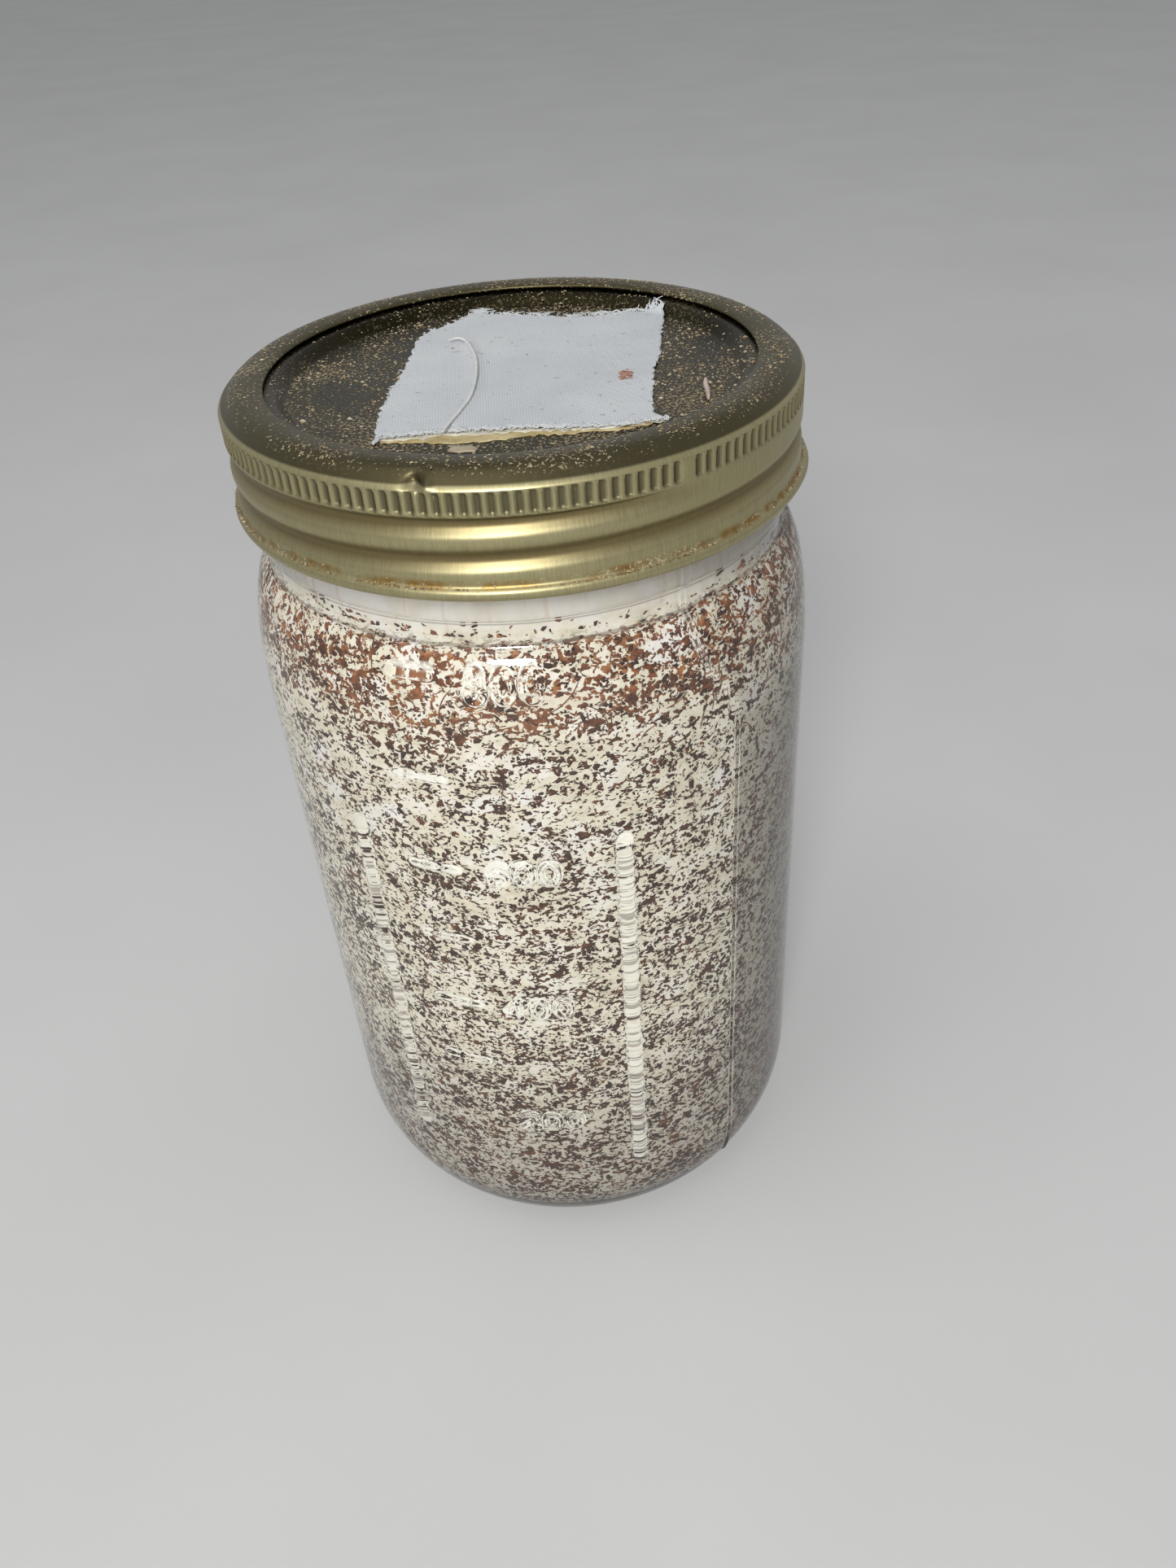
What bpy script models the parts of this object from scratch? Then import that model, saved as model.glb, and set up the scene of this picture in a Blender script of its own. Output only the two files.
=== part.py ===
"""Wide-mouth preserving jar of mushroom grain spawn, closed with a flat lid and a screw band.

Units are metres and +Z is up. The origin is the centre of the base, on the plane the jar stands on.
Azimuths are degrees round the jar's axis, counted from +X; -90 faces the front.
"""

import math

import bmesh
import bpy
from mathutils import Vector

# Clearances
SEAT_GAP = 0.0003
CHORD_SLACK = 0.0001
SKIRT_CLEARANCE = 0.00025
BAND_CLEARANCE = 0.00105

# Glass jar: body
JAR_HEIGHT = 0.1627
BODY_RADIUS = 0.0475
BODY_WALL = 0.0026
BASE_THICKNESS = 0.0068
HEEL_DEPTH = 0.0117
HEEL_HEIGHT = 0.0184
INNER_HEEL_DEPTH = 0.0090
INNER_HEEL_HEIGHT = 0.0130
BEARING_WIDTH = 0.0038
PUSH_UP_DEPTH = 0.0022
PUSH_UP_SLOPE = 0.0045

# Glass jar: shoulder, collar, bead and finish
SHOULDER_HEIGHT = 0.0210
COLLAR_HEIGHT = 0.0042
COLLAR_PROUD = 0.0005
BEAD_HEIGHT = 0.0052
BEAD_PROUD = 0.0017
FINISH_HEIGHT = 0.0141
FINISH_RADIUS = 0.0422
FINISH_WALL = 0.0034
RIM_ROUND = 0.0006

# Screw thread, shared by the glass and the band
THREAD_PITCH = 0.00508
THREAD_RADIUS = 0.0016
THREAD_SINK = 0.0001
THREAD_TURNS = 1.25
THREAD_RUN_IN = 25.0
THREAD_LEAD = 130.0
THREAD_SEAT_RISE = 0.0015

# Grip ribs moulded on the body, in two facing pairs
RIB_AZIMUTHS = (-130.0, -77.0, 50.0, 103.0)
RIB_FOOT_MARGIN = 0.0046
RIB_HEAD_MARGIN = 0.0112
RIB_HALF_WIDTH = 0.0013
RIB_PROUD = 0.0008

# Grain spawn
HEADSPACE = 0.0117
SPAWN_CROWN = 0.0012
SPAWN_BUMP = 0.0007

# Sealing ring and lid disc
RING_THICKNESS = 0.0013
RING_OVERLAP = 0.0003
RING_SETBACK = 0.0002
DISC_SHEET = 0.0005
DISC_EDGE_ROUND = 0.0005
DISC_SKIRT = 0.0017
PANEL_DEPTH = 0.0019
CHANNEL_MARGIN = 0.0012
PANEL_SLOPE = 0.0027

# Screw band
BAND_SHEET = 0.0005
BAND_FLANGE = 0.00715
BAND_SKIRT = 0.01825
CREST_RISE = 0.00045
CREST_INSET = 0.00405
KNURL_COUNT = 156
KNURLS_PER_FACE = 3
KNURL_TOP = 0.00255
KNURL_LENGTH = 0.0034
KNURL_DEPTH = 0.00035
KNURL_RIDGE = 0.0003
KNURL_GAP_AZIMUTH = -60.8
GROOVE_DEPTH = 0.0012
GROOVE_HALF_WIDTH = 0.0017
GROOVE_START_AZIMUTH = 110.0
GROOVE_START_RISE = 0.0038
GROOVE_TURNS = 1.55
HEM_PROUD = 0.00075
HEM_HEIGHT = 0.0021
HEM_FLARE = 0.0007
HEM_FLARE_AZIMUTH = -8.0
DENT_DEPTH = 0.0007
DENT_AZIMUTH = -108.5

# Tape
TAPE_THICKNESS = 0.00025
TAPE_CLIMB = 0.0018156

# Facets
GLASS_STEPS = 36
THREAD_STEPS = 32
BAND_FACES = KNURL_COUNT // KNURLS_PER_FACE
SPAWN_STEPS = 28
LID_STEPS = 32
GROOVE_ROWS = 7

# Heights and radii that follow from the sizes above
BEAD_TOP = JAR_HEIGHT - FINISH_HEIGHT
COLLAR_TOP = BEAD_TOP - BEAD_HEIGHT
SHOULDER_TOP = COLLAR_TOP - COLLAR_HEIGHT
SHOULDER_START = SHOULDER_TOP - SHOULDER_HEIGHT
COLLAR_RADIUS = FINISH_RADIUS + COLLAR_PROUD
INNER_RADIUS = BODY_RADIUS - BODY_WALL
MOUTH_RADIUS = FINISH_RADIUS - FINISH_WALL
RIB_BOTTOM = HEEL_HEIGHT + RIB_FOOT_MARGIN
RIB_LENGTH = SHOULDER_START - RIB_HEAD_MARGIN - RIB_BOTTOM
SPAWN_TOP = JAR_HEIGHT - HEADSPACE
THREAD_CREST = FINISH_RADIUS - THREAD_SINK + THREAD_RADIUS
RING_INNER_RADIUS = MOUTH_RADIUS - RING_OVERLAP
RING_OUTER_RADIUS = FINISH_RADIUS - RING_SETBACK
DISC_RADIUS = FINISH_RADIUS + SKIRT_CLEARANCE + DISC_SHEET
CHANNEL_RADIUS = RING_INNER_RADIUS - CHANNEL_MARGIN
PANEL_RADIUS = CHANNEL_RADIUS - PANEL_SLOPE
BAND_RADIUS = THREAD_CREST + BAND_CLEARANCE + BAND_SHEET
BAND_OPENING = BAND_RADIUS - BAND_FLANGE
CREST_RADIUS = BAND_RADIUS - CREST_INSET
HEM_RADIUS = BAND_RADIUS + HEM_PROUD
RING_BOTTOM = JAR_HEIGHT + SEAT_GAP
CHANNEL_UNDERSIDE = RING_BOTTOM + RING_THICKNESS + SEAT_GAP
CHANNEL_TOP = CHANNEL_UNDERSIDE + DISC_SHEET
PANEL_TOP = CHANNEL_TOP - PANEL_DEPTH
FLANGE_TOP = CHANNEL_TOP + SEAT_GAP + BAND_SHEET
CREST_TOP = FLANGE_TOP + CREST_RISE
BAND_BOTTOM = CREST_TOP - BAND_SKIRT
KNURL_TOP_HEIGHT = CREST_TOP - KNURL_TOP
KNURL_BOTTOM_HEIGHT = KNURL_TOP_HEIGHT - KNURL_LENGTH
HEM_TOP = BAND_BOTTOM + HEM_HEIGHT
GROOVE_START = BAND_BOTTOM + GROOVE_START_RISE

# The glass thread runs just above the band's groove, so that the groove hooks under it
THREAD_START_AZIMUTH = GROOVE_START_AZIMUTH - THREAD_LEAD
THREAD_START = GROOVE_START + THREAD_SEAT_RISE - THREAD_PITCH * THREAD_LEAD / 360.0

# The torn tape's outline on the lid, in millimetres; it is drawn to fit the sunk panel
TAPE_OUTLINE_MM = (
    (-20.3, -25.1), (-19.1, -22.3), (-9.9, -22.3), (0.5, -23.2), (11.9, -25.4), (21.5, -24.7),
    (19.6, -22.4), (20.1, -16.6), (21.9, -3.4), (23.3, 0.8), (24.6, 8.6), (26.6, 20.5), (27.3, 24.1),
    (25.1, 25.2), (20.8, 25.8), (16.5, 25.1), (10.9, 25.7), (2.5, 29.0), (-3.2, 31.1), (-4.3, 33.6),
    (-6.8, 30.7), (-11.0, 25.8), (-14.5, 22.6), (-15.5, 19.4), (-16.7, 7.3), (-18.8, -3.5), (-19.7, -10.3),
    (-20.2, -18.4),
)


def clear_scene():
    for obj in list(bpy.data.objects):
        bpy.data.objects.remove(obj, do_unlink=True)


def make_collection(name, hidden=False):
    collection = bpy.data.collections.new(name)
    bpy.context.scene.collection.children.link(collection)
    collection.hide_render = hidden
    return collection


def make_material(name, colour, roughness, metallic=0.0, transmission=0.0):
    material = bpy.data.materials.new(name)
    material.use_nodes = True
    shader = material.node_tree.nodes["Principled BSDF"]
    shader.inputs["Base Color"].default_value = (*colour, 1.0)
    shader.inputs["Roughness"].default_value = roughness
    shader.inputs["Metallic"].default_value = metallic
    shader.inputs["Transmission Weight"].default_value = transmission
    shader.inputs["IOR"].default_value = 1.5
    material.diffuse_color = (*colour, 1.0)
    return material


def smoothstep(low, high, value):
    share = min(max((value - low) / (high - low), 0.0), 1.0)
    return share * share * (3.0 - 2.0 * share)


def quarter_ellipse(centre, semi_r, semi_z, start, end, count):
    """Points of an elliptical arc in the r-z plane, from angle start to angle end in degrees."""
    points = []
    for index in range(count + 1):
        angle = math.radians(start + (end - start) * index / count)
        points.append((centre[0] + semi_r * math.cos(angle), centre[1] + semi_z * math.sin(angle)))
    return points


def offset_profile(points, distance):
    """The profile moved sideways by distance, to the right of its direction of travel."""
    moved = []
    for index, point in enumerate(points):
        before = Vector(points[max(index - 1, 0)])
        after = Vector(points[min(index + 1, len(points) - 1)])
        travel = (after - before).normalized()
        moved.append((point[0] + travel.y * distance, point[1] - travel.x * distance))
    return moved


def mesh_object(name, bm, collection, material):
    mesh = bpy.data.meshes.new(name)
    bm.to_mesh(mesh)
    bm.free()
    obj = bpy.data.objects.new(name, mesh)
    collection.objects.link(obj)
    if material:
        mesh.materials.append(material)
    return obj


def shade(obj, sharp_angle=35.0):
    obj.data.shade_smooth()
    obj.data.set_sharp_from_angle(angle=math.radians(sharp_angle))


def turned_object(name, profile, steps, closed, collection, material):
    """A profile of (radius, height) points with a Screw modifier, which turns it round the jar's axis."""
    bm = bmesh.new()
    vertices = [bm.verts.new((radius, 0.0, height)) for radius, height in profile]
    pairs = list(zip(vertices, vertices[1:]))
    if closed:
        pairs.append((vertices[-1], vertices[0]))
    for pair in pairs:
        bm.edges.new(pair)
    obj = mesh_object(name, bm, collection, material)
    screw = obj.modifiers.new("Turn", "SCREW")
    screw.steps = steps
    screw.render_steps = steps
    screw.use_merge_vertices = True
    screw.merge_threshold = 0.00001
    screw.use_smooth_shade = True
    return obj


def glass_outer_profile():
    """From the top of the rim down the outside to the middle of the base."""
    rim = quarter_ellipse((FINISH_RADIUS - RIM_ROUND, JAR_HEIGHT - RIM_ROUND), RIM_ROUND, RIM_ROUND, 90, 0, 2)
    bead_middle = (FINISH_RADIUS, (BEAD_TOP + COLLAR_TOP) / 2)
    bead = quarter_ellipse(bead_middle, BEAD_PROUD, BEAD_HEIGHT / 2, 72, -62, 4)
    shoulder = quarter_ellipse(
        (COLLAR_RADIUS, SHOULDER_START), BODY_RADIUS - COLLAR_RADIUS, SHOULDER_HEIGHT, 82, 0, 5
    )
    heel = quarter_ellipse((BODY_RADIUS - HEEL_DEPTH, HEEL_HEIGHT), HEEL_DEPTH, HEEL_HEIGHT, 0, -90, 5)
    bearing_inner = BODY_RADIUS - HEEL_DEPTH - BEARING_WIDTH
    base = [(bearing_inner, 0.0), (bearing_inner - PUSH_UP_SLOPE, PUSH_UP_DEPTH), (0.0, PUSH_UP_DEPTH)]
    finish_foot = [(FINISH_RADIUS, BEAD_TOP)]
    collar = [(COLLAR_RADIUS, COLLAR_TOP), (COLLAR_RADIUS, SHOULDER_TOP)]
    return rim + finish_foot + bead + collar + shoulder + heel + base


def glass_inner_profile():
    """From the middle of the floor up the inside to the rim."""
    heel_centre = (INNER_RADIUS - INNER_HEEL_DEPTH, BASE_THICKNESS + INNER_HEEL_HEIGHT)
    heel = quarter_ellipse(heel_centre, INNER_HEEL_DEPTH, INNER_HEEL_HEIGHT, -90, 0, 3)
    shoulder = quarter_ellipse(
        (MOUTH_RADIUS, SHOULDER_START), INNER_RADIUS - MOUTH_RADIUS, SHOULDER_HEIGHT, 0, 90, 3
    )
    floor = [(0.0, BASE_THICKNESS)]
    rim = [(MOUTH_RADIUS, JAR_HEIGHT - RIM_ROUND), (MOUTH_RADIUS + RIM_ROUND, JAR_HEIGHT)]
    return floor + heel + shoulder + rim


def thread_curve(name, start_height, start_azimuth, material, scene_collection):
    """The glass thread: a round wire wound on the finish, its ends running into the neck."""
    curve = bpy.data.curves.new(name, "CURVE")
    curve.dimensions = "3D"
    curve.twist_mode = "Z_UP"
    curve.bevel_depth = THREAD_RADIUS
    curve.bevel_resolution = 1
    curve.use_fill_caps = True
    count = round(THREAD_STEPS * THREAD_TURNS)
    spline = curve.splines.new("POLY")
    spline.points.add(count)
    for index, point in enumerate(spline.points):
        turned = 360.0 * THREAD_TURNS * index / count
        left = 360.0 * THREAD_TURNS - turned
        height = smoothstep(0.0, THREAD_RUN_IN, min(turned, left) + 4.0)
        radius = FINISH_RADIUS - THREAD_SINK - THREAD_RADIUS * 0.8 * (1.0 - height)
        angle = math.radians(start_azimuth + turned)
        rise = THREAD_PITCH * turned / 360.0
        point.co = (radius * math.cos(angle), radius * math.sin(angle), start_height + rise, 1.0)
        point.radius = 0.35 + 0.65 * height
    guide = bpy.data.objects.new(name + "_curve", curve)
    scene_collection.objects.link(guide)
    graph = bpy.context.evaluated_depsgraph_get()
    mesh = bpy.data.meshes.new_from_object(guide.evaluated_get(graph))
    bpy.data.objects.remove(guide, do_unlink=True)
    bm = bmesh.new()
    bm.from_mesh(mesh)
    bmesh.ops.remove_doubles(bm, verts=bm.verts, dist=0.000001)
    bmesh.ops.recalc_face_normals(bm, faces=bm.faces)
    bpy.data.meshes.remove(mesh)
    return mesh_object(name, bm, scene_collection, material)


def grip_rib(name, azimuth, collection, material):
    """A raised upright rib with rounded ends: a flattened ball, its two halves drawn apart."""
    bm = bmesh.new()
    bmesh.ops.create_uvsphere(bm, u_segments=8, v_segments=5, radius=1.0)
    stretch = RIB_LENGTH / 2 - RIB_HALF_WIDTH
    for vertex in bm.verts:
        end = math.copysign(stretch, vertex.co.z)
        vertex.co = (vertex.co.x * RIB_PROUD, vertex.co.y * RIB_HALF_WIDTH, vertex.co.z * RIB_HALF_WIDTH + end)
    obj = mesh_object(name, bm, collection, material)
    turn = math.radians(azimuth)
    obj.location = (
        BODY_RADIUS * math.cos(turn),
        BODY_RADIUS * math.sin(turn),
        RIB_BOTTOM + RIB_LENGTH / 2,
    )
    obj.rotation_euler = (0.0, 0.0, turn)
    return obj


def as_cutter(obj):
    obj.hide_render = True
    obj.display_type = "WIRE"


def build_glass_jar(parts, cutters):
    """The hollow jar: one turned wall, with the screw thread and the grip ribs grown on."""
    glass = make_material("clear_glass", (0.93, 0.95, 0.94), 0.04, transmission=1.0)
    profile = glass_inner_profile() + glass_outer_profile()
    jar = turned_object("glass_jar", profile, GLASS_STEPS, False, parts, glass)
    pieces = [thread_curve("glass_thread", THREAD_START, THREAD_START_AZIMUTH, glass, cutters)]
    for number, azimuth in enumerate(RIB_AZIMUTHS, 1):
        pieces.append(grip_rib(f"grip_rib_{number}", azimuth, cutters, glass))
    for piece in pieces:
        as_cutter(piece)
        grow = jar.modifiers.new("Grow " + piece.name, "BOOLEAN")
        grow.operation = "UNION"
        grow.solver = "EXACT"
        grow.object = piece
    return jar


def build_grain_spawn(parts):
    """The block of grain and mycelium: it fills the glass and has an uneven top."""
    spawn = make_material("grain_spawn", (0.72, 0.66, 0.55), 0.85)
    inside = [point for point in glass_inner_profile() if point[1] < SPAWN_TOP]
    inside.append((MOUTH_RADIUS, SPAWN_TOP + SEAT_GAP))
    wall = offset_profile(inside, -SEAT_GAP - CHORD_SLACK)
    wall[0] = (0.0, BASE_THICKNESS + SEAT_GAP)
    wall[-1] = (wall[-1][0], SPAWN_TOP)
    crown = [(wall[-1][0] * share, SPAWN_TOP + SPAWN_CROWN * (1.0 - share * share)) for share in (0.75, 0.4, 0.0)]
    profile = wall + crown
    bm = bmesh.new()
    vertices = [bm.verts.new((radius, 0.0, height)) for radius, height in profile]
    edges = [bm.edges.new(pair) for pair in zip(vertices, vertices[1:])]
    bmesh.ops.spin(
        bm,
        geom=vertices + edges,
        cent=(0, 0, 0),
        axis=(0, 0, 1),
        angle=math.tau,
        steps=SPAWN_STEPS,
        use_merge=True,
    )
    bmesh.ops.remove_doubles(bm, verts=bm.verts, dist=0.000001)
    for vertex in bm.verts:
        if vertex.co.z >= SPAWN_TOP:
            x, y = vertex.co.x, vertex.co.y
            wave = math.sin(390.0 * x + 1.3) * math.cos(310.0 * y) + 0.5 * math.sin(640.0 * (x - y))
            vertex.co.z += SPAWN_BUMP * wave
    bmesh.ops.recalc_face_normals(bm, faces=bm.faces)
    obj = mesh_object("grain_spawn", bm, parts, spawn)
    shade(obj)
    return obj


def build_sealing_ring(parts):
    """The soft ring in the lid's channel, seated on the glass rim."""
    compound = make_material("sealing_compound", (0.55, 0.33, 0.22), 0.6)
    top = RING_BOTTOM + RING_THICKNESS
    profile = [
        (RING_INNER_RADIUS, top),
        (RING_OUTER_RADIUS, top),
        (RING_OUTER_RADIUS, RING_BOTTOM),
        (RING_INNER_RADIUS, RING_BOTTOM),
    ]
    return turned_object("sealing_ring", profile, LID_STEPS, True, parts, compound)


def lid_top_height(radius):
    share = min(max((radius - PANEL_RADIUS) / PANEL_SLOPE, 0.0), 1.0)
    return PANEL_TOP + share * PANEL_DEPTH


def build_lid_disc(parts):
    """The flat lid: a sunk panel, a slope up to the sealing channel, and a curled edge."""
    tinplate = make_material("bronze_tinplate", (0.23, 0.19, 0.12), 0.42, metallic=0.9)
    edge = quarter_ellipse(
        (DISC_RADIUS - DISC_EDGE_ROUND, CHANNEL_TOP - DISC_EDGE_ROUND), DISC_EDGE_ROUND, DISC_EDGE_ROUND, 90, 0, 2
    )
    inner_edge = DISC_RADIUS - DISC_SHEET
    profile = [
        (0.0, PANEL_TOP),
        (PANEL_RADIUS, PANEL_TOP),
        (CHANNEL_RADIUS, CHANNEL_TOP),
        *edge,
        (DISC_RADIUS, CHANNEL_TOP - DISC_SKIRT),
        (inner_edge, CHANNEL_TOP - DISC_SKIRT),
        (inner_edge, CHANNEL_UNDERSIDE),
        (CHANNEL_RADIUS + DISC_SHEET / 3, CHANNEL_UNDERSIDE),
        (PANEL_RADIUS + DISC_SHEET / 3, PANEL_TOP - DISC_SHEET),
        (0.0, PANEL_TOP - DISC_SHEET),
    ]
    return turned_object("lid_disc", profile, LID_STEPS, False, parts, tinplate)


def groove_share(angle, height):
    """How deep the band's rolled groove is at this place, from 0 to 1. It climbs as a right-hand screw."""
    turned = (angle - math.radians(GROOVE_START_AZIMUTH)) % math.tau
    total = math.tau * GROOVE_TURNS
    share = 0.0
    while turned < total:
        centre = GROOVE_START + THREAD_PITCH * turned / math.tau
        across = abs(height - centre) / GROOVE_HALF_WIDTH
        if across < 1.0:
            ends = smoothstep(0.0, 0.4, turned) * smoothstep(0.0, 0.5, total - turned)
            share = max(share, ends * 0.5 * (1.0 + math.cos(math.pi * across)))
        turned += math.tau
    clear_of_hem = smoothstep(HEM_TOP, HEM_TOP + 0.0006, height)
    clear_of_knurl = smoothstep(0.0, 0.0006, KNURL_BOTTOM_HEIGHT - height)
    return share * clear_of_hem * clear_of_knurl


def angle_bump(angle, azimuth, half_width):
    """A smooth bump from 0 to 1 round one azimuth, half_width in degrees."""
    away = (math.degrees(angle) - azimuth + 180.0) % 360.0 - 180.0
    return math.exp(-((away / half_width) ** 2))


def band_profile():
    """The band's cross-section as a closed loop: down the outside, round the hem and up the inside."""
    crown = [
        (BAND_OPENING, FLANGE_TOP),
        (BAND_OPENING + 0.0012, CREST_TOP - 0.0001),
        (CREST_RADIUS, CREST_TOP),
        (CREST_RADIUS + 0.0016, CREST_TOP - 0.0003),
        (BAND_RADIUS - 0.00145, CREST_TOP - 0.00105),
        (BAND_RADIUS - 0.00055, CREST_TOP - 0.00185),
    ]
    knurl = [(BAND_RADIUS, KNURL_TOP_HEIGHT), (BAND_RADIUS, KNURL_BOTTOM_HEIGHT)]
    step = (KNURL_BOTTOM_HEIGHT - HEM_TOP) / (GROOVE_ROWS + 1)
    wall = [(BAND_RADIUS, KNURL_BOTTOM_HEIGHT - step * row) for row in range(1, GROOVE_ROWS + 1)]
    hem_middle = (BAND_RADIUS - BAND_SHEET / 2, BAND_BOTTOM + HEM_HEIGHT / 2)
    hem_proud = HEM_RADIUS - hem_middle[0]
    hem = quarter_ellipse(hem_middle, hem_proud, HEM_HEIGHT / 2, 65, -90, 3)
    inner_radius = BAND_RADIUS - BAND_SHEET
    inside = [(inner_radius, HEM_TOP + step * row) for row in range(GROOVE_ROWS + 2)]
    roof = [
        (inner_radius, KNURL_TOP_HEIGHT),
        (BAND_RADIUS - 0.0016, CREST_TOP - 0.0014),
        (CREST_RADIUS + 0.0014, CREST_TOP - CREST_RISE - BAND_SHEET + 0.0001),
        (BAND_OPENING, FLANGE_TOP - BAND_SHEET),
    ]
    hem_inner = [(inner_radius, BAND_BOTTOM + 0.0003)]
    return crown + knurl + wall + hem + hem_inner + inside + roof


def press_knurl(bm):
    """Splits the plain row under the shoulder into narrow faces and presses a pocket into each."""
    heights = (KNURL_TOP_HEIGHT, KNURL_BOTTOM_HEIGHT)

    def on_outside(vertex, height):
        radius = math.hypot(vertex.co.x, vertex.co.y)
        return abs(vertex.co.z - height) < 1e-6 and abs(radius - BAND_RADIUS) < 1e-4

    def is_row_face(face):
        return all(any(on_outside(v, h) for h in heights) for v in face.verts)

    row = [face for face in bm.faces if is_row_face(face)]
    level = {e for f in row for e in f.edges if abs(e.verts[0].co.z - e.verts[1].co.z) < 1e-6}
    bmesh.ops.subdivide_edges(bm, edges=list(level), cuts=KNURLS_PER_FACE - 1, use_grid_fill=True)
    strips = [face for face in bm.faces if is_row_face(face)]
    pitch = 360.0 / KNURL_COUNT
    pockets = []
    for face in strips:
        centre = face.calc_center_median()
        away = abs(math.degrees(math.atan2(centre.y, centre.x)) - KNURL_GAP_AZIMUTH)
        if away > pitch / 2:
            pockets.append(face)
    bmesh.ops.inset_individual(
        bm, faces=pockets, thickness=KNURL_RIDGE, depth=-KNURL_DEPTH, use_even_offset=True
    )


def build_screw_band(parts):
    """The screw band: rolled crown, knurled grip, helical groove that hooks under the glass thread, and hem."""
    tinplate = make_material("gold_tinplate", (0.62, 0.55, 0.36), 0.34, metallic=1.0)
    bm = bmesh.new()
    profile = band_profile()
    vertices = [bm.verts.new((radius, 0.0, height)) for radius, height in profile]
    edges = [bm.edges.new(pair) for pair in zip(vertices, vertices[1:] + vertices[:1])]
    bmesh.ops.spin(
        bm,
        geom=vertices + edges,
        cent=(0, 0, 0),
        axis=(0, 0, 1),
        angle=math.tau,
        steps=BAND_FACES,
        use_merge=True,
    )
    bmesh.ops.remove_doubles(bm, verts=bm.verts, dist=0.000001)
    bmesh.ops.recalc_face_normals(bm, faces=bm.faces)
    press_knurl(bm)
    for vertex in bm.verts:
        radius = math.hypot(vertex.co.x, vertex.co.y)
        angle = math.atan2(vertex.co.y, vertex.co.x)
        inward = GROOVE_DEPTH * groove_share(angle, vertex.co.z)
        shoulder = smoothstep(KNURL_TOP_HEIGHT, CREST_TOP - 0.0015, vertex.co.z) * (radius > CREST_RADIUS)
        above_roof = vertex.co.z > CREST_TOP - 0.0012
        inward += DENT_DEPTH * shoulder * above_roof * angle_bump(angle, DENT_AZIMUTH, 4.0)
        low = 1.0 - smoothstep(BAND_BOTTOM, HEM_TOP + 0.0008, vertex.co.z)
        outward = HEM_FLARE * low * angle_bump(angle, HEM_FLARE_AZIMUTH, 16.0)
        scale = (radius - inward + outward) / radius
        vertex.co.x *= scale
        vertex.co.y *= scale
    obj = mesh_object("screw_band", bm, parts, tinplate)
    shade(obj)
    return obj


def build_tape(parts):
    """The torn strip of cloth tape stuck on the sunk panel; one corner climbs the slope round it."""
    cloth = make_material("white_tape", (0.80, 0.82, 0.85), 0.8)
    curve = bpy.data.curves.new("tape_outline", "CURVE")
    curve.dimensions = "2D"
    curve.fill_mode = "BOTH"
    curve.extrude = TAPE_THICKNESS / 2
    spline = curve.splines.new("POLY")
    spline.points.add(len(TAPE_OUTLINE_MM) - 1)
    fit = (PANEL_RADIUS + TAPE_CLIMB) / max(math.hypot(x, y) for x, y in TAPE_OUTLINE_MM)
    for point, (x, y) in zip(spline.points, TAPE_OUTLINE_MM):
        point.co = (x * fit, y * fit, 0.0, 1.0)
    spline.use_cyclic_u = True
    outline = bpy.data.objects.new("tape_outline", curve)
    parts.objects.link(outline)
    graph = bpy.context.evaluated_depsgraph_get()
    mesh = bpy.data.meshes.new_from_object(outline.evaluated_get(graph))
    bpy.data.objects.remove(outline, do_unlink=True)
    bm = bmesh.new()
    bm.from_mesh(mesh)
    bpy.data.meshes.remove(mesh)
    bmesh.ops.remove_doubles(bm, verts=bm.verts, dist=0.000001)
    for vertex in bm.verts:
        radius = math.hypot(vertex.co.x, vertex.co.y)
        vertex.co.z += lid_top_height(radius) + SEAT_GAP + TAPE_THICKNESS / 2
    bmesh.ops.recalc_face_normals(bm, faces=bm.faces)
    return mesh_object("tape_patch", bm, parts, cloth)


def main():
    clear_scene()
    parts = make_collection("grain_spawn_jar")
    cutters = make_collection("jar_cutters", hidden=True)
    build_glass_jar(parts, cutters)
    build_grain_spawn(parts)
    build_sealing_ring(parts)
    build_lid_disc(parts)
    build_screw_band(parts)
    build_tape(parts)


main()
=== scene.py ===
# %% [markdown]
# # A jar of mushroom grain spawn
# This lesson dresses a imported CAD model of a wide-mouth preserving jar. The jar is clear pressed glass. It
# is packed with grain and bran that white mycelium has knit into one block, and it is closed with a flat
# bronze lid, a pale gold screw band and a torn piece of white cloth tape. The CAD model stays as it is.
# Each step below makes a finer piece that stands where a CAD node stood.

# %% Load the frame
import math

import bmesh
import bpy
import numpy as np
from mathutils import Matrix, Vector, noise


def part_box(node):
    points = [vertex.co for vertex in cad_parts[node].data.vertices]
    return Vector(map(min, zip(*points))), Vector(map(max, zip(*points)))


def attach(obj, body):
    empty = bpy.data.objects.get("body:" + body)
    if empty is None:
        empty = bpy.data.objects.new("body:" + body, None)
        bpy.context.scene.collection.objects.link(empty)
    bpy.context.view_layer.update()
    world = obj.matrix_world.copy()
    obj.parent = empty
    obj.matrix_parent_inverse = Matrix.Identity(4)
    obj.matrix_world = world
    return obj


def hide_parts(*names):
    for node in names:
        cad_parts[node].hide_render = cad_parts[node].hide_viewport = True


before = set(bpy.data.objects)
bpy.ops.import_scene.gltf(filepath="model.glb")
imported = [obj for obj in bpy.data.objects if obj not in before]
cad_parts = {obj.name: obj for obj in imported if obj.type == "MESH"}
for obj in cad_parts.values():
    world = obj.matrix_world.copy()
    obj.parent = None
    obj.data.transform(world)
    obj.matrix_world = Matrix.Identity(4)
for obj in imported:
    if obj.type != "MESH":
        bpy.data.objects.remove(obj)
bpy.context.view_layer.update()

# %% [markdown]
# ## Driving sizes
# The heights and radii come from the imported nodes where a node's box gives them, so the looks follow the
# frame. The rest are real sizes in metres, or in millimetres where the name ends in MM. Azimuths are
# degrees round the jar's axis from +X, and -90 faces the front.

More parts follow.
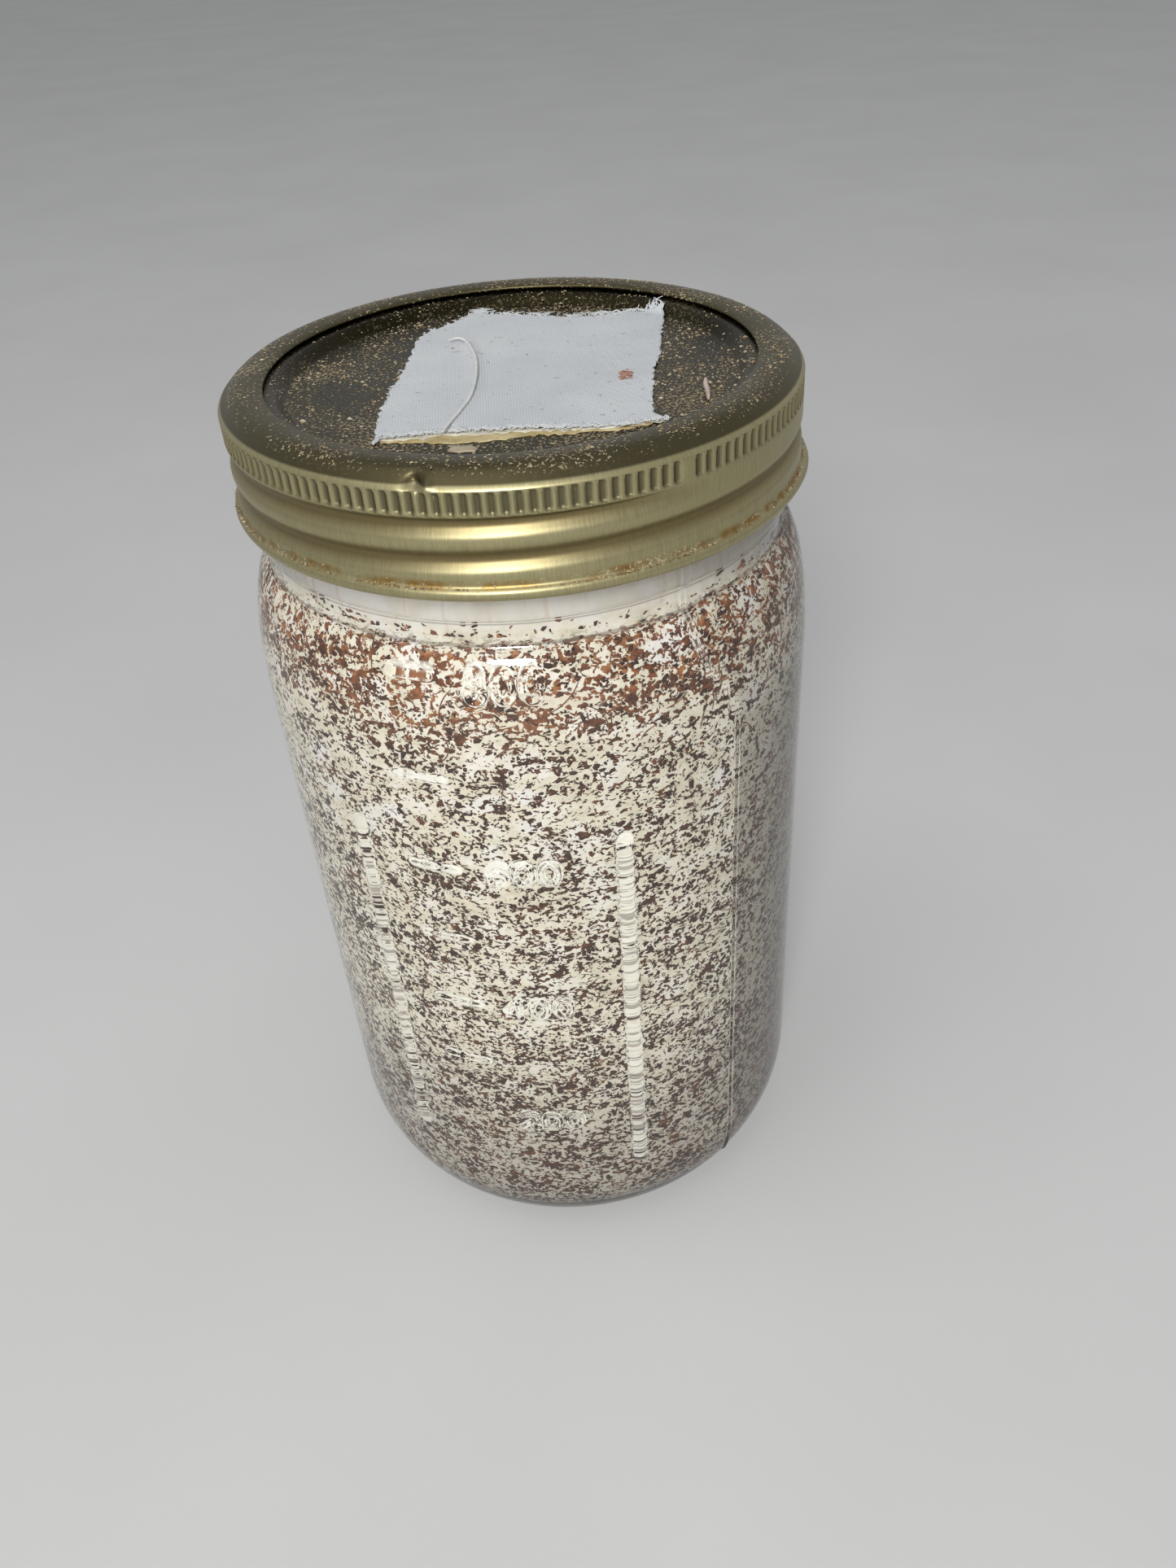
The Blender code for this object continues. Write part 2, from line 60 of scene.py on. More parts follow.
# %% Sizes shared by several pieces
MM = 0.001
glass_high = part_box("glass_jar")[1]
band_low, band_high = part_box("screw_band")
lid_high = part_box("lid_disc")[1]
spawn_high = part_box("grain_spawn")[1]

JAR_HEIGHT = glass_high.z
BODY_RADIUS = glass_high.x
BODY_WALL = 2.6 * MM
INNER_RADIUS = BODY_RADIUS - BODY_WALL
BASE_THICKNESS = 6.8 * MM
HEEL_DEPTH = 11.7 * MM
HEEL_HEIGHT = 18.4 * MM
INNER_HEEL_DEPTH = 9.0 * MM
INNER_HEEL_HEIGHT = 13.0 * MM
FINISH_HEIGHT = 14.1 * MM
BEAD_HEIGHT = 5.2 * MM
BEAD_PROUD = 1.7 * MM
COLLAR_HEIGHT = 4.2 * MM
SHOULDER_HEIGHT = 21.0 * MM
FINISH_RADIUS = 42.2 * MM
COLLAR_RADIUS = 42.7 * MM
MOUTH_RADIUS = 38.8 * MM
BEAD_TOP = JAR_HEIGHT - FINISH_HEIGHT
COLLAR_TOP = BEAD_TOP - BEAD_HEIGHT
SHOULDER_TOP = COLLAR_TOP - COLLAR_HEIGHT
SHOULDER_START = SHOULDER_TOP - SHOULDER_HEIGHT
THREAD_PITCH = 5.08 * MM
GROOVE_RISE = 3.8 * MM
print("body radius", BODY_RADIUS, "rim", JAR_HEIGHT, "shoulder from", SHOULDER_START, "to", SHOULDER_TOP)

# %% [markdown]
# ## Camera
# The camera comes first, because every later choice is judged through it. It looks down at the jar from
# close by, so the jar narrows towards its foot. Its place in metres and its turns in radians were found by
# fitting the lid's rings, the two glass outlines and the foot. The frame is upright, so the sensor's long
# side spans the picture's height.

# %% Make the camera
CAMERA_PLACE = Vector((0.0, -0.190847, 0.227724))
CAMERA_YAW = 0.0376098
CAMERA_PITCH = 0.6544266
CAMERA_ROLL = -0.0729313
PICTURE_HEIGHT = 1927
FOCAL_PIXELS = 1494.66
SENSOR = 36.0


def link_object(name, data):
    """A new object that holds the data, linked to the scene."""
    made = bpy.data.objects.new(name, data)
    bpy.context.scene.collection.objects.link(made)
    return made


forward = Vector((
    math.sin(CAMERA_YAW) * math.cos(CAMERA_PITCH),
    math.cos(CAMERA_YAW) * math.cos(CAMERA_PITCH),
    -math.sin(CAMERA_PITCH),
))
level_right = Vector((math.cos(CAMERA_YAW), -math.sin(CAMERA_YAW), 0.0))
level_up = level_right.cross(forward)
camera_right = math.cos(CAMERA_ROLL) * level_right + math.sin(CAMERA_ROLL) * level_up
camera_up = camera_right.cross(forward)

camera_data = bpy.data.cameras.new("camera")
camera_data.sensor_width = SENSOR
camera_data.lens = FOCAL_PIXELS * SENSOR / PICTURE_HEIGHT
camera_data.clip_start = 0.01
camera = link_object("camera", camera_data)
axes = Matrix((camera_right, camera_up, -forward)).transposed()
camera.matrix_world = Matrix.Translation(CAMERA_PLACE) @ axes.to_4x4()
bpy.context.scene.camera = camera
print("lens", round(camera_data.lens, 2), "mm")

# %% [markdown]
# ## Floor, backdrop light and lamps
# The jar stands on a plain pale floor. The world gives a soft even light. What metal and glass mirror is a
# little paler than what lights the jar, and the backdrop is paler still. A soft lamp by the camera's upper
# left stands for the flash that lit the real jar, and a wide one overhead gives the lid and the floor their
# light. Materials are built from a few helpers, so that each one reads as a list of layers from the bottom
# up.

# %% Helpers for node materials
def fill_socket(tree, socket, value):
    """Gives an input a number or a colour, or a link where the value is another node's output."""
    if isinstance(value, bpy.types.NodeSocket):
        tree.links.new(value, socket)
    elif socket.type == "RGBA":
        socket.default_value = (*value, 1.0)
    else:
        socket.default_value = value


def feed(material, value, name):
    """Gives one of the shader's own inputs a value or a link."""
    tree = material.node_tree
    fill_socket(tree, tree.nodes["Principled BSDF"].inputs[name], value)


def new_material(name, colour, roughness=0.5, metallic=0.0):
    material = bpy.data.materials.new(name)
    material.use_nodes = True
    feed(material, colour, "Base Color")
    feed(material, roughness, "Roughness")
    feed(material, metallic, "Metallic")
    return material


def add_node(material, kind, inputs=None, **settings):
    """A new node with its settings and its inputs."""
    tree = material.node_tree
    node = tree.nodes.new("ShaderNode" + kind)
    for key, value in settings.items():
        setattr(node, key, value)
    for key, value in (inputs or {}).items():
        fill_socket(tree, node.inputs[key], value)
    return node


def object_place(material, stretch=(1.0, 1.0, 1.0)):
    coordinates = add_node(material, "TexCoord")
    mapping = add_node(material, "Mapping", {"Vector": coordinates.outputs["Object"], "Scale": stretch})
    return mapping.outputs["Vector"]


def object_height(material):
    place = add_node(material, "TexCoord").outputs["Object"]
    return add_node(material, "SeparateXYZ", {"Vector": place}).outputs["Z"]


def attribute_share(material, name):
    return add_node(material, "Attribute", attribute_name=name).outputs["Fac"]


def grainy(material, place, scale, detail=2.0, roughness=0.5, distortion=0.0):
    texture = add_node(
        material,
        "TexNoise",
        {"Vector": place, "Scale": scale, "Detail": detail, "Roughness": roughness, "Distortion": distortion},
    )
    return texture.outputs["Fac"]


def ramp(material, factor, stops):
    """A colour ramp with stops of (position, grey or colour)."""
    node = add_node(material, "ValToRGB", {"Fac": factor})
    elements = node.color_ramp.elements
    while len(elements) > len(stops):
        elements.remove(elements[-1])
    while len(elements) < len(stops):
        elements.new(1.0)
    for element, (position, colour) in zip(elements, stops):
        element.position = position
        element.color = (colour, colour, colour, 1.0) if isinstance(colour, float) else (*colour, 1.0)
    return node.outputs["Color"]


def mix(material, factor, first, second, blend="MIX"):
    """Mixes two colours. The numbers are the places of the node's factor and colour sockets."""
    inputs = {0: factor, 6: first, 7: second}
    return add_node(material, "Mix", inputs, data_type="RGBA", blend_type=blend).outputs[2]


def arithmetic(material, operation, first, second=0.0, third=0.0, clamp=False):
    inputs = {0: first, 1: second, 2: third}
    return add_node(material, "Math", inputs, operation=operation, use_clamp=clamp).outputs[0]


def times(material, first, second):
    return arithmetic(material, "MULTIPLY", first, second)


def over(material, below, colour, mask, strength):
    """A colour laid over what is below, as far as the mask and the strength let it show."""
    return mix(material, times(material, mask, strength), below, colour)


def between(material, value, low, high):
    """0 below low and 1 above high, smooth in between."""
    inputs = {"Value": value, "From Min": low, "From Max": high}
    return add_node(material, "MapRange", inputs, interpolation_type="SMOOTHSTEP").outputs["Result"]


def set_bump(material, height, distance, strength=1.0):
    bump = add_node(material, "Bump", {"Height": height, "Distance": distance, "Strength": strength})
    feed(material, bump.outputs["Normal"], "Normal")


def tint_by(material, pattern, stops):
    """Feeds the base colour with a ramp over a pattern."""
    feed(material, ramp(material, pattern, stops), "Base Color")


def mesh_from(name, bm):
    """The bmesh as a mesh of that name. The bmesh itself is freed."""
    mesh = bpy.data.meshes.new(name)
    bm.to_mesh(mesh)
    bm.free()
    return mesh


# %% Build the floor
FLOOR_SIZE = 16.0


def build_floor():
    bm = bmesh.new()
    bmesh.ops.create_grid(bm, x_segments=1, y_segments=1, size=FLOOR_SIZE / 2)
    mesh = mesh_from("floor", bm)
    floor = link_object("floor", mesh)
    material = new_material("pale_floor", (0.72, 0.72, 0.71), 0.85)
    mottle = grainy(material, object_place(material), 9.0, 3.0)
    tint_by(material, mottle, [(0.3, (0.69, 0.69, 0.68)), (0.7, (0.73, 0.73, 0.72))])
    mesh.materials.append(material)
    return floor


floor = build_floor()
print("floor", FLOOR_SIZE, "m square")

# %% Light the studio
WORLD_LIGHT = 0.32
WORLD_MIRRORED = 0.55
WORLD_THROUGH_GLASS = 0.42
WORLD_SHOWN = 0.80


def light_world():
    world = bpy.data.worlds.new("studio")
    bpy.context.scene.world = world
    world.use_nodes = True
    tree = world.node_tree
    background = tree.nodes["Background"]
    background.inputs["Color"].default_value = (0.97, 0.98, 1.0, 1.0)
    paths = tree.nodes.new("ShaderNodeLightPath")
    strength = None
    for kind, level in (
        ("Is Glossy Ray", WORLD_MIRRORED),
        ("Is Transmission Ray", WORLD_THROUGH_GLASS),
        ("Is Camera Ray", WORLD_SHOWN),
    ):
        step = tree.nodes.new("ShaderNodeMapRange")
        tree.links.new(paths.outputs[kind], step.inputs["Value"])
        step.inputs["To Min"].default_value = WORLD_LIGHT
        step.inputs["To Max"].default_value = level
        if strength:
            tree.links.new(strength, step.inputs["To Min"])
        strength = step.outputs["Result"]
    tree.links.new(strength, background.inputs["Strength"])


def soft_lamp(name, azimuth, elevation, distance, size, power, aim):
    """A round lamp that shines at its aim, with angles in degrees, sizes in metres and power in watts."""
    lamp_data = bpy.data.lights.new(name, "AREA")
    lamp_data.shape = "DISK"
    lamp_data.size = size
    lamp_data.energy = power
    lamp = link_object(name, lamp_data)
    turn = math.radians(azimuth)
    rise = math.radians(elevation)
    away = Vector((math.cos(turn) * math.cos(rise), math.sin(turn) * math.cos(rise), math.sin(rise)))
    lamp.location = aim + away * distance
    lamp.rotation_mode = "QUATERNION"
    lamp.rotation_quaternion = away.to_track_quat("Z", "Y")
    return lamp


light_world()
jar_middle = Vector((0.0, 0.0, 0.1))
soft_lamp("key_lamp", -102.0, 33.0, distance=1.3, size=0.40, power=11.0, aim=jar_middle)
soft_lamp("overhead_lamp", -150.0, 70.0, distance=2.2, size=1.6, power=6.5, aim=jar_middle)
bpy.context.scene.view_settings.view_transform = "Standard"

# %% [markdown]
# ## Turned pieces
# Glass, lid, ring and band are all round, so each starts as a half section that bmesh spins about the jar's
# axis. The spin leaves its seam and its poles as doubled points, which are merged before the normals are
# recalculated. Details that repeat or wind round the jar, such as the knurl and the thread, are then
# pressed in by moving the points in and out with a formula of their azimuth and height.

# %% Helpers for turned pieces
ROOT = "root"
SPIN_STRETCH = 40
SAME_POINT = 0.000002


def arc(centre, semi_r, semi_z, start, end, count):
    """Points of an elliptical arc in the half section, from start to end in degrees."""
    points = []
    for index in range(count + 1):
        angle = math.radians(start + (end - start) * index / count)
        points.append((centre[0] + semi_r * math.cos(angle), centre[1] + semi_z * math.sin(angle)))
    return points


def rows_between(radius, low, high, pitch):
    """Points up a plain wall, both ends left out."""
    count = max(1, round(abs(high - low) / pitch))
    return [(radius, low + (high - low) * index / count) for index in range(1, count)]


def steps_from(radius, height, steps_mm):
    """Points of a half section, as steps in millimetres away from a radius and a height."""
    return [(radius + out * MM, height + up * MM) for out, up in steps_mm]


def section_mesh(bm, points, closed, azimuth=0.0):
    turn = math.radians(azimuth)
    vertices = [bm.verts.new((r * math.cos(turn), r * math.sin(turn), z)) for r, z in points]
    pairs = list(zip(vertices, vertices[1:]))
    if closed:
        pairs.append((vertices[-1], vertices[0]))
    return vertices + [bm.edges.new(pair) for pair in pairs]


def spin_sectors(points, sectors, closed=True):
    """Spins a half section through sectors of (start, end, steps), in degrees, that meet in a full turn.

    Each stretch is spun on its own and then joined to the rest, because a spin slows as its mesh grows.
    """
    whole = bmesh.new()
    for start, end, steps in sectors:
        stretches = math.ceil(steps / SPIN_STRETCH)
        for stretch in range(stretches):
            first = round(steps * stretch / stretches)
            last = round(steps * (stretch + 1) / stretches)
            part = bmesh.new()
            bmesh.ops.spin(
                part,
                geom=section_mesh(part, points, closed, start + (end - start) * first / steps),
                cent=(0, 0, 0),
                axis=(0, 0, 1),
                angle=math.radians((end - start) * (last - first) / steps),
                steps=last - first,
                use_merge=False,
            )
            stretch_mesh = mesh_from("stretch", part)
            whole.from_mesh(stretch_mesh)
            bpy.data.meshes.remove(stretch_mesh)
    bmesh.ops.remove_doubles(whole, verts=whole.verts, dist=SAME_POINT)
    bmesh.ops.recalc_face_normals(whole, faces=whole.faces)
    return whole


def adopt_mesh(name, mesh, material, replaces=None, smooth=True):
    """Makes the mesh a piece that rides on the jar, and stands for a CAD node where it names one."""
    piece = link_object(name, mesh)
    mesh.materials.append(material)
    if smooth:
        mesh.shade_smooth()
    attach(piece, ROOT)
    if replaces:
        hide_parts(replaces)
    print(name, "faces", len(mesh.polygons))
    return piece


def read_values(items, key, kind=int, each=1):
    """One property of all vertices, loops or faces as an array."""
    values = np.empty(len(items) * each, kind)
    items.foreach_get(key, values)
    return values


def points_of(mesh):
    return read_values(mesh.vertices, "co", float, 3).reshape(-1, 3)


def put_points(mesh, points):
    mesh.vertices.foreach_set("co", points.reshape(-1))
    mesh.update()


def put_share(mesh, name, values, domain="POINT"):
    """Writes one number per point or face as an attribute that a material can read."""
    mesh.attributes.new(name, "FLOAT", domain).data.foreach_set("value", values)


def smooth_share(low, high, value):
    """0 below low and 1 above high, smooth in between."""
    share = np.clip((value - low) / (high - low), 0.0, 1.0)
    return share * share * (3.0 - 2.0 * share)


def turn_away(azimuth, centre):
    """Degrees from centre, between -180 and 180."""
    return (azimuth - centre + 180.0) % 360.0 - 180.0


def polar(points):
    """Radius, azimuth in degrees and height of each point."""
    radius = np.hypot(points[:, 0], points[:, 1])
    azimuth = np.degrees(np.arctan2(points[:, 1], points[:, 0]))
    return radius, azimuth, points[:, 2]


def push_out(points, amount):
    """Moves each point straight away from the jar's axis."""
    radius = np.maximum(np.hypot(points[:, 0], points[:, 1]), 1e-9)
    share = (radius + amount) / radius
    points[:, 0] *= share
    points[:, 1] *= share


def noise_at(places, scale):
    return np.array([noise.noise(Vector(place) * scale) for place in places])


# %% [markdown]
# ## Glass
# Pressed glass keeps every detail of its mould: two pairs of lens-like grip ribs, volume dashes with
# rounded ends, soft numerals, and a fine seam where the mould's halves met. Raised pieces laid on the wall
# would show their own hidden faces through clear glass, so instead the wall's own points are pushed out.
# The spin is fine only in the sectors that carry relief, and plain elsewhere. Ribs are given as azimuth,
# half width and the heights of both ends, dashes as height and half width, and numerals as text, middle
# height and size.

# %% Half section of the glass
MARK_ROW = 0.3 * MM
PLAIN_ROW = 3.2 * MM
SHOULDER_ROW = 0.25 * MM
FINISH_ROW = 0.75 * MM
SHOULDER_END_DEGREES = 82.0
RIM_ROUND = 0.6 * MM
COLLAR_ROUND = 0.3 * MM
BEARING_WIDTH = 3.8 * MM
PUSH_UP = 2.3 * MM
RIBS_MM = [
    (-131.0, 1.55, 28.1, 107.1),
    (-77.4, 1.40, 22.7, 106.8),
    (50.0, 1.40, 22.7, 106.8),
    (103.0, 1.55, 28.1, 107.1),
]
DASHES_MM = [(118.9, 0.75), (100.9, 0.75), (85.4, 0.75), (69.8, 0.75), (54.7, 0.75)]
NUMERALS_MM = [("800", 134.6, 5.3), ("600", 100.8, 5.1), ("400", 69.7, 5.1), ("200", 38.8, 4.6)]


def shoulder_radius(height, inner):
    """Radius of the glass at a height on the shoulder, outside or inside."""
    low, high = (MOUTH_RADIUS, INNER_RADIUS) if inner else (COLLAR_RADIUS, BODY_RADIUS)
    rise = min(max((height - SHOULDER_START) / SHOULDER_HEIGHT, 0.0), 1.0)
    return low + (high - low) * math.sqrt(1.0 - rise * rise)


def mark_heights():
    """Heights where the relief needs close rows, as (low, high) spans that never meet."""
    spans = [(z - half - 0.35, z + half + 0.35) for z, half in DASHES_MM]
    spans += [(z - tall / 2 - 0.5, z + tall / 2 + 0.5) for _, z, tall in NUMERALS_MM]
    for _, half, low, high in RIBS_MM[:2]:
        spans += [(low - 0.8, low + half + 0.3), (high - half - 0.3, high + 0.8)]
    joined = []
    for low, high in sorted(spans):
        if joined and low < joined[-1][1]:
            joined[-1] = (joined[-1][0], max(high, joined[-1][1]))
        else:
            joined.append((low, high))
    return [(low * MM, high * MM) for low, high in joined]


def outer_wall_rows():
    """Heights from the top of the shoulder down to the heel, close where the relief is."""
    heights = []
    low = HEEL_HEIGHT
    for start, end in mark_heights():
        plain = max(1, round((start - low) / PLAIN_ROW))
        heights += [low + (start - low) * k / plain for k in range(plain)]
        close = max(1, round((end - start) / MARK_ROW))
        heights += [start + (end - start) * k / close for k in range(close)]
        low = end
    top = SHOULDER_START + SHOULDER_HEIGHT * math.sin(math.radians(SHOULDER_END_DEGREES))
    plain = max(1, round((top - low) / SHOULDER_ROW))
    heights += [low + (top - low) * k / plain for k in range(plain + 1)]
    return heights[::-1]


def outer_glass():
    """The outside from the rim down over bead, collar, shoulder and heel to the middle of the push-up."""
    bead_centre = (FINISH_RADIUS, (BEAD_TOP + COLLAR_TOP) / 2)
    collar_centre = (COLLAR_RADIUS + COLLAR_ROUND, COLLAR_TOP - COLLAR_ROUND)
    outer = arc((FINISH_RADIUS - RIM_ROUND, JAR_HEIGHT - RIM_ROUND), RIM_ROUND, RIM_ROUND, 90, 0, 4)
    outer += rows_between(FINISH_RADIUS, JAR_HEIGHT - RIM_ROUND, BEAD_TOP, FINISH_ROW)
    outer += [(FINISH_RADIUS + 0.1 * MM, BEAD_TOP + 0.2 * MM)]
    outer += arc(bead_centre, BEAD_PROUD, BEAD_HEIGHT / 2, 78, -74, 14)
    outer += arc(collar_centre, COLLAR_ROUND, 0.35 * MM, 110, 180, 2)
    outer += steps_from(COLLAR_RADIUS, SHOULDER_TOP, [(0.0, 1.2), (0.12, 0.3)])
    outer += [(shoulder_radius(height, False), height) for height in outer_wall_rows()]
    outer += arc((BODY_RADIUS - HEEL_DEPTH, HEEL_HEIGHT), HEEL_DEPTH, HEEL_HEIGHT, -6, -90, 14)
    bearing_inner = BODY_RADIUS - HEEL_DEPTH - BEARING_WIDTH
    outer += steps_from(bearing_inner, 0.0, [(0.0, 0.0), (-1.4, 0.4), (-3.1, 1.8), (-4.5, 2.2)])
    return outer + [(10 * MM, PUSH_UP), (0.0, PUSH_UP)]


def inner_glass():
    """The inside from the middle of the base up to the rim."""
    heel_centre = (INNER_RADIUS - INNER_HEEL_DEPTH, BASE_THICKNESS + INNER_HEEL_HEIGHT)
    inner = [(0.0, BASE_THICKNESS), (14 * MM, BASE_THICKNESS), (26 * MM, BASE_THICKNESS)]
    inner += arc(heel_centre, INNER_HEEL_DEPTH, INNER_HEEL_HEIGHT, -90, 0, 10)
    inner += rows_between(INNER_RADIUS, heel_centre[1], SHOULDER_START, 24 * MM)
    inner += arc((MOUTH_RADIUS, SHOULDER_START), INNER_RADIUS - MOUTH_RADIUS, SHOULDER_HEIGHT, 0, 90, 14)
    inner += [(MOUTH_RADIUS, BEAD_TOP), (MOUTH_RADIUS, JAR_HEIGHT - RIM_ROUND)]
    inner += [(MOUTH_RADIUS + 0.18 * MM, JAR_HEIGHT - 0.18 * MM)]
    return inner + [(MOUTH_RADIUS + RIM_ROUND, JAR_HEIGHT)]


glass_points = inner_glass() + outer_glass()
print("points in the glass section:", len(glass_points))

# %% Relief of the mould, in millimetres and degrees
RIB_PROUD = 0.8
DASH_SPAN = (-120.0, -109.0)
TOP_DASH = (135.9, 0.90, -119.6, -109.6)
DASH_PROUD = 0.60
NUMERAL_CENTRE = -97.0
NUMERAL_SPAN = 12.6
STROKE_HALF = 0.55
NUMERAL_PROUD = 0.60
SEAM_PROUD = 0.45
SEAM_HALF = 0.34
RELIEF_FOOT = 9.0
FRONT_SEAM = -51.3
REAR_SEAM = 128.7
SEAM_BEND = 8.5
FAR_OFF = 1e9


def ring_stroke(x, y, wide, tall, steps=20):
    turns = [k * math.tau / steps for k in range(steps + 1)]
    return [(x + wide * math.cos(turn), y + tall * math.sin(turn)) for turn in turns]


DIGITS = {
    "0": [ring_stroke(0.5, 0.5, 0.33, 0.42)],
    "8": [ring_stroke(0.5, 0.73, 0.25, 0.19), ring_stroke(0.5, 0.29, 0.33, 0.23)],
    "6": [
        ring_stroke(0.5, 0.31, 0.33, 0.24),
        [(0.17, 0.36), (0.2, 0.62), (0.38, 0.86), (0.64, 0.93), (0.8, 0.84)],
    ],
    "4": [[(0.68, 0.05), (0.68, 0.93), (0.12, 0.33), (0.92, 0.33)]],
    "2": [
        [(0.16, 0.72), (0.24, 0.87), (0.47, 0.94), (0.72, 0.88), (0.8, 0.7)],
        [(0.8, 0.7), (0.68, 0.49), (0.36, 0.25), (0.14, 0.07), (0.88, 0.07)],
    ],
}


def distance_to_stroke(across, up, stroke):
    """Shortest distance from each point to a polyline."""
    best = np.full(across.shape, FAR_OFF)
    for (x0, y0), (x1, y1) in zip(stroke, stroke[1:]):
        dx, dy = x1 - x0, y1 - y0
        share = np.clip(((across - x0) * dx + (up - y0) * dy) / (dx * dx + dy * dy), 0.0, 1.0)
        best = np.minimum(best, np.hypot(across - x0 - share * dx, up - y0 - share * dy))
    return best


def lens(distance, half_width, proud):
    """Height of a ridge with a round section at each distance from its middle line."""
    curve = (half_width**2 + proud**2) / (2.0 * proud)
    rise = np.sqrt(np.maximum(curve**2 - distance**2, 0.0)) - curve + proud
    return np.where(distance < half_width, rise, 0.0)


def seam_azimuth(height):
    """Azimuth of the seam at the right. It bends towards the front on the shoulder."""
    return FRONT_SEAM - SEAM_BEND * smooth_share(118 * MM, 137 * MM, height)


def glass_relief(azimuth, height):
    """How far the mould's marks stand out at each point, in millimetres."""
    z = height / MM
    mm_per_degree = BODY_RADIUS / MM * math.pi / 180.0
    relief = np.zeros(len(z))
    for centre, half, low, high in RIBS_MM:
        across = turn_away(azimuth, centre) * mm_per_degree
        beyond = np.maximum(np.maximum(low + half - z, z - high + half), 0.0)
        relief = np.maximum(relief, lens(np.hypot(across, beyond), half, RIB_PROUD))
    spans = [(z0, half, *DASH_SPAN) for z0, half in DASHES_MM] + [TOP_DASH]
    for middle, half, start, end in spans:
        centre = (start + end) / 2
        reach = (end - start) / 2 * mm_per_degree - half
        beyond = np.maximum(np.abs(turn_away(azimuth, centre)) * mm_per_degree - reach, 0.0)
        relief = np.maximum(relief, lens(np.hypot(beyond, z - middle), half, DASH_PROUD))
    for text, middle, tall in NUMERALS_MM:
        digit_wide = NUMERAL_SPAN / 3
        for place, digit in enumerate(text):
            centre = (place - 1) * digit_wide
            across = turn_away(azimuth, NUMERAL_CENTRE) * mm_per_degree - centre + digit_wide / 2
            up = z - middle + tall / 2
            near = (np.abs(across - digit_wide / 2) < digit_wide) & (np.abs(up - tall / 2) < tall)
            for stroke in DIGITS[digit]:
                real = [(x * digit_wide, y * tall) for x, y in stroke]
                gap = np.full(len(z), FAR_OFF)
                gap[near] = distance_to_stroke(across[near], up[near], real)
                relief = np.maximum(relief, lens(gap, STROKE_HALF, NUMERAL_PROUD))
    for centre in (seam_azimuth(height), REAR_SEAM):
        across = turn_away(azimuth, centre) * mm_per_degree
        relief = np.maximum(relief, SEAM_PROUD * np.exp(-((across / SEAM_HALF) ** 2)) * (z > RELIEF_FOOT))
    return relief


print("numerals moulded on the panel:", [text for text, _, _ in NUMERALS_MM])

# %% Glass material
def make_glass_material():
    """Clear glass. Rays from the lamps pass as through a clear pane, so that the spawn inside is lit."""
    material = new_material("clear_glass", (0.97, 0.985, 0.975), 0.02)
    feed(material, 1.0, "Transmission Weight")
    feed(material, 1.5, "IOR")
    wobble = grainy(material, object_place(material), 55.0, 1.0)
    set_bump(material, wobble, 0.06 * MM, 0.5)
    clear = add_node(material, "BsdfTransparent", {"Color": (0.93, 0.945, 0.93)}).outputs[0]
    shadow = add_node(material, "LightPath").outputs["Is Shadow Ray"]
    tree = material.node_tree
    glass = tree.nodes["Principled BSDF"].outputs[0]
    blend = add_node(material, "MixShader", {0: shadow, 1: glass, 2: clear})
    tree.links.new(blend.outputs[0], tree.nodes["Material Output"].inputs["Surface"])
    return material


glass_material = make_glass_material()
print("glass material:", glass_material.name)

# %% Build the glass
WALL_SLACK = 0.3 * MM
JAR_THREAD_START = -20.0
JAR_THREAD_SWEEP = 450.0
JAR_THREAD_LEAD = 130.0
JAR_THREAD_HALF = 1.7 * MM
JAR_THREAD_PROUD = 1.5 * MM
BEAD_SEAM_AZIMUTH = FRONT_SEAM - SEAM_BEND
GLASS_SECTORS = [
    (-134.0, -128.0, 18),
    (-128.0, -122.0, 5),
    (-122.0, -106.5, 28),
    (-106.5, -104.9, 3),
    (-104.9, -89.0, 54),
    (-89.0, -79.5, 7),
    (-79.5, -74.5, 15),
    (-74.5, -63.0, 7),
    (-63.0, -52.0, 32),
    (-52.0, -48.6, 17),
    (-48.6, 47.0, 45),
    (47.0, 53.0, 16),
    (53.0, 100.0, 24),
    (100.0, 106.0, 16),
    (106.0, 127.9, 12),
    (127.9, 129.5, 6),
    (129.5, 226.0, 46),
]


def jar_thread(azimuth, height):
    """How far the finish's right-hand thread stands out. It winds 1.25 turns and fades at both ends."""
    start = band_low.z + GROOVE_RISE + 1.5 * MM - THREAD_PITCH * JAR_THREAD_LEAD / 360.0
    turned = (azimuth - JAR_THREAD_START) % 360.0
    proud = np.zeros(len(height))
    for lap in (0.0, 360.0):
        middle = start + THREAD_PITCH * (turned + lap) / 360.0
        ends = smooth_share(0.0, 25.0, np.minimum(turned + lap, JAR_THREAD_SWEEP - turned - lap))
        proud = np.maximum(proud, ends * lens(height - middle, JAR_THREAD_HALF, JAR_THREAD_PROUD))
    return proud


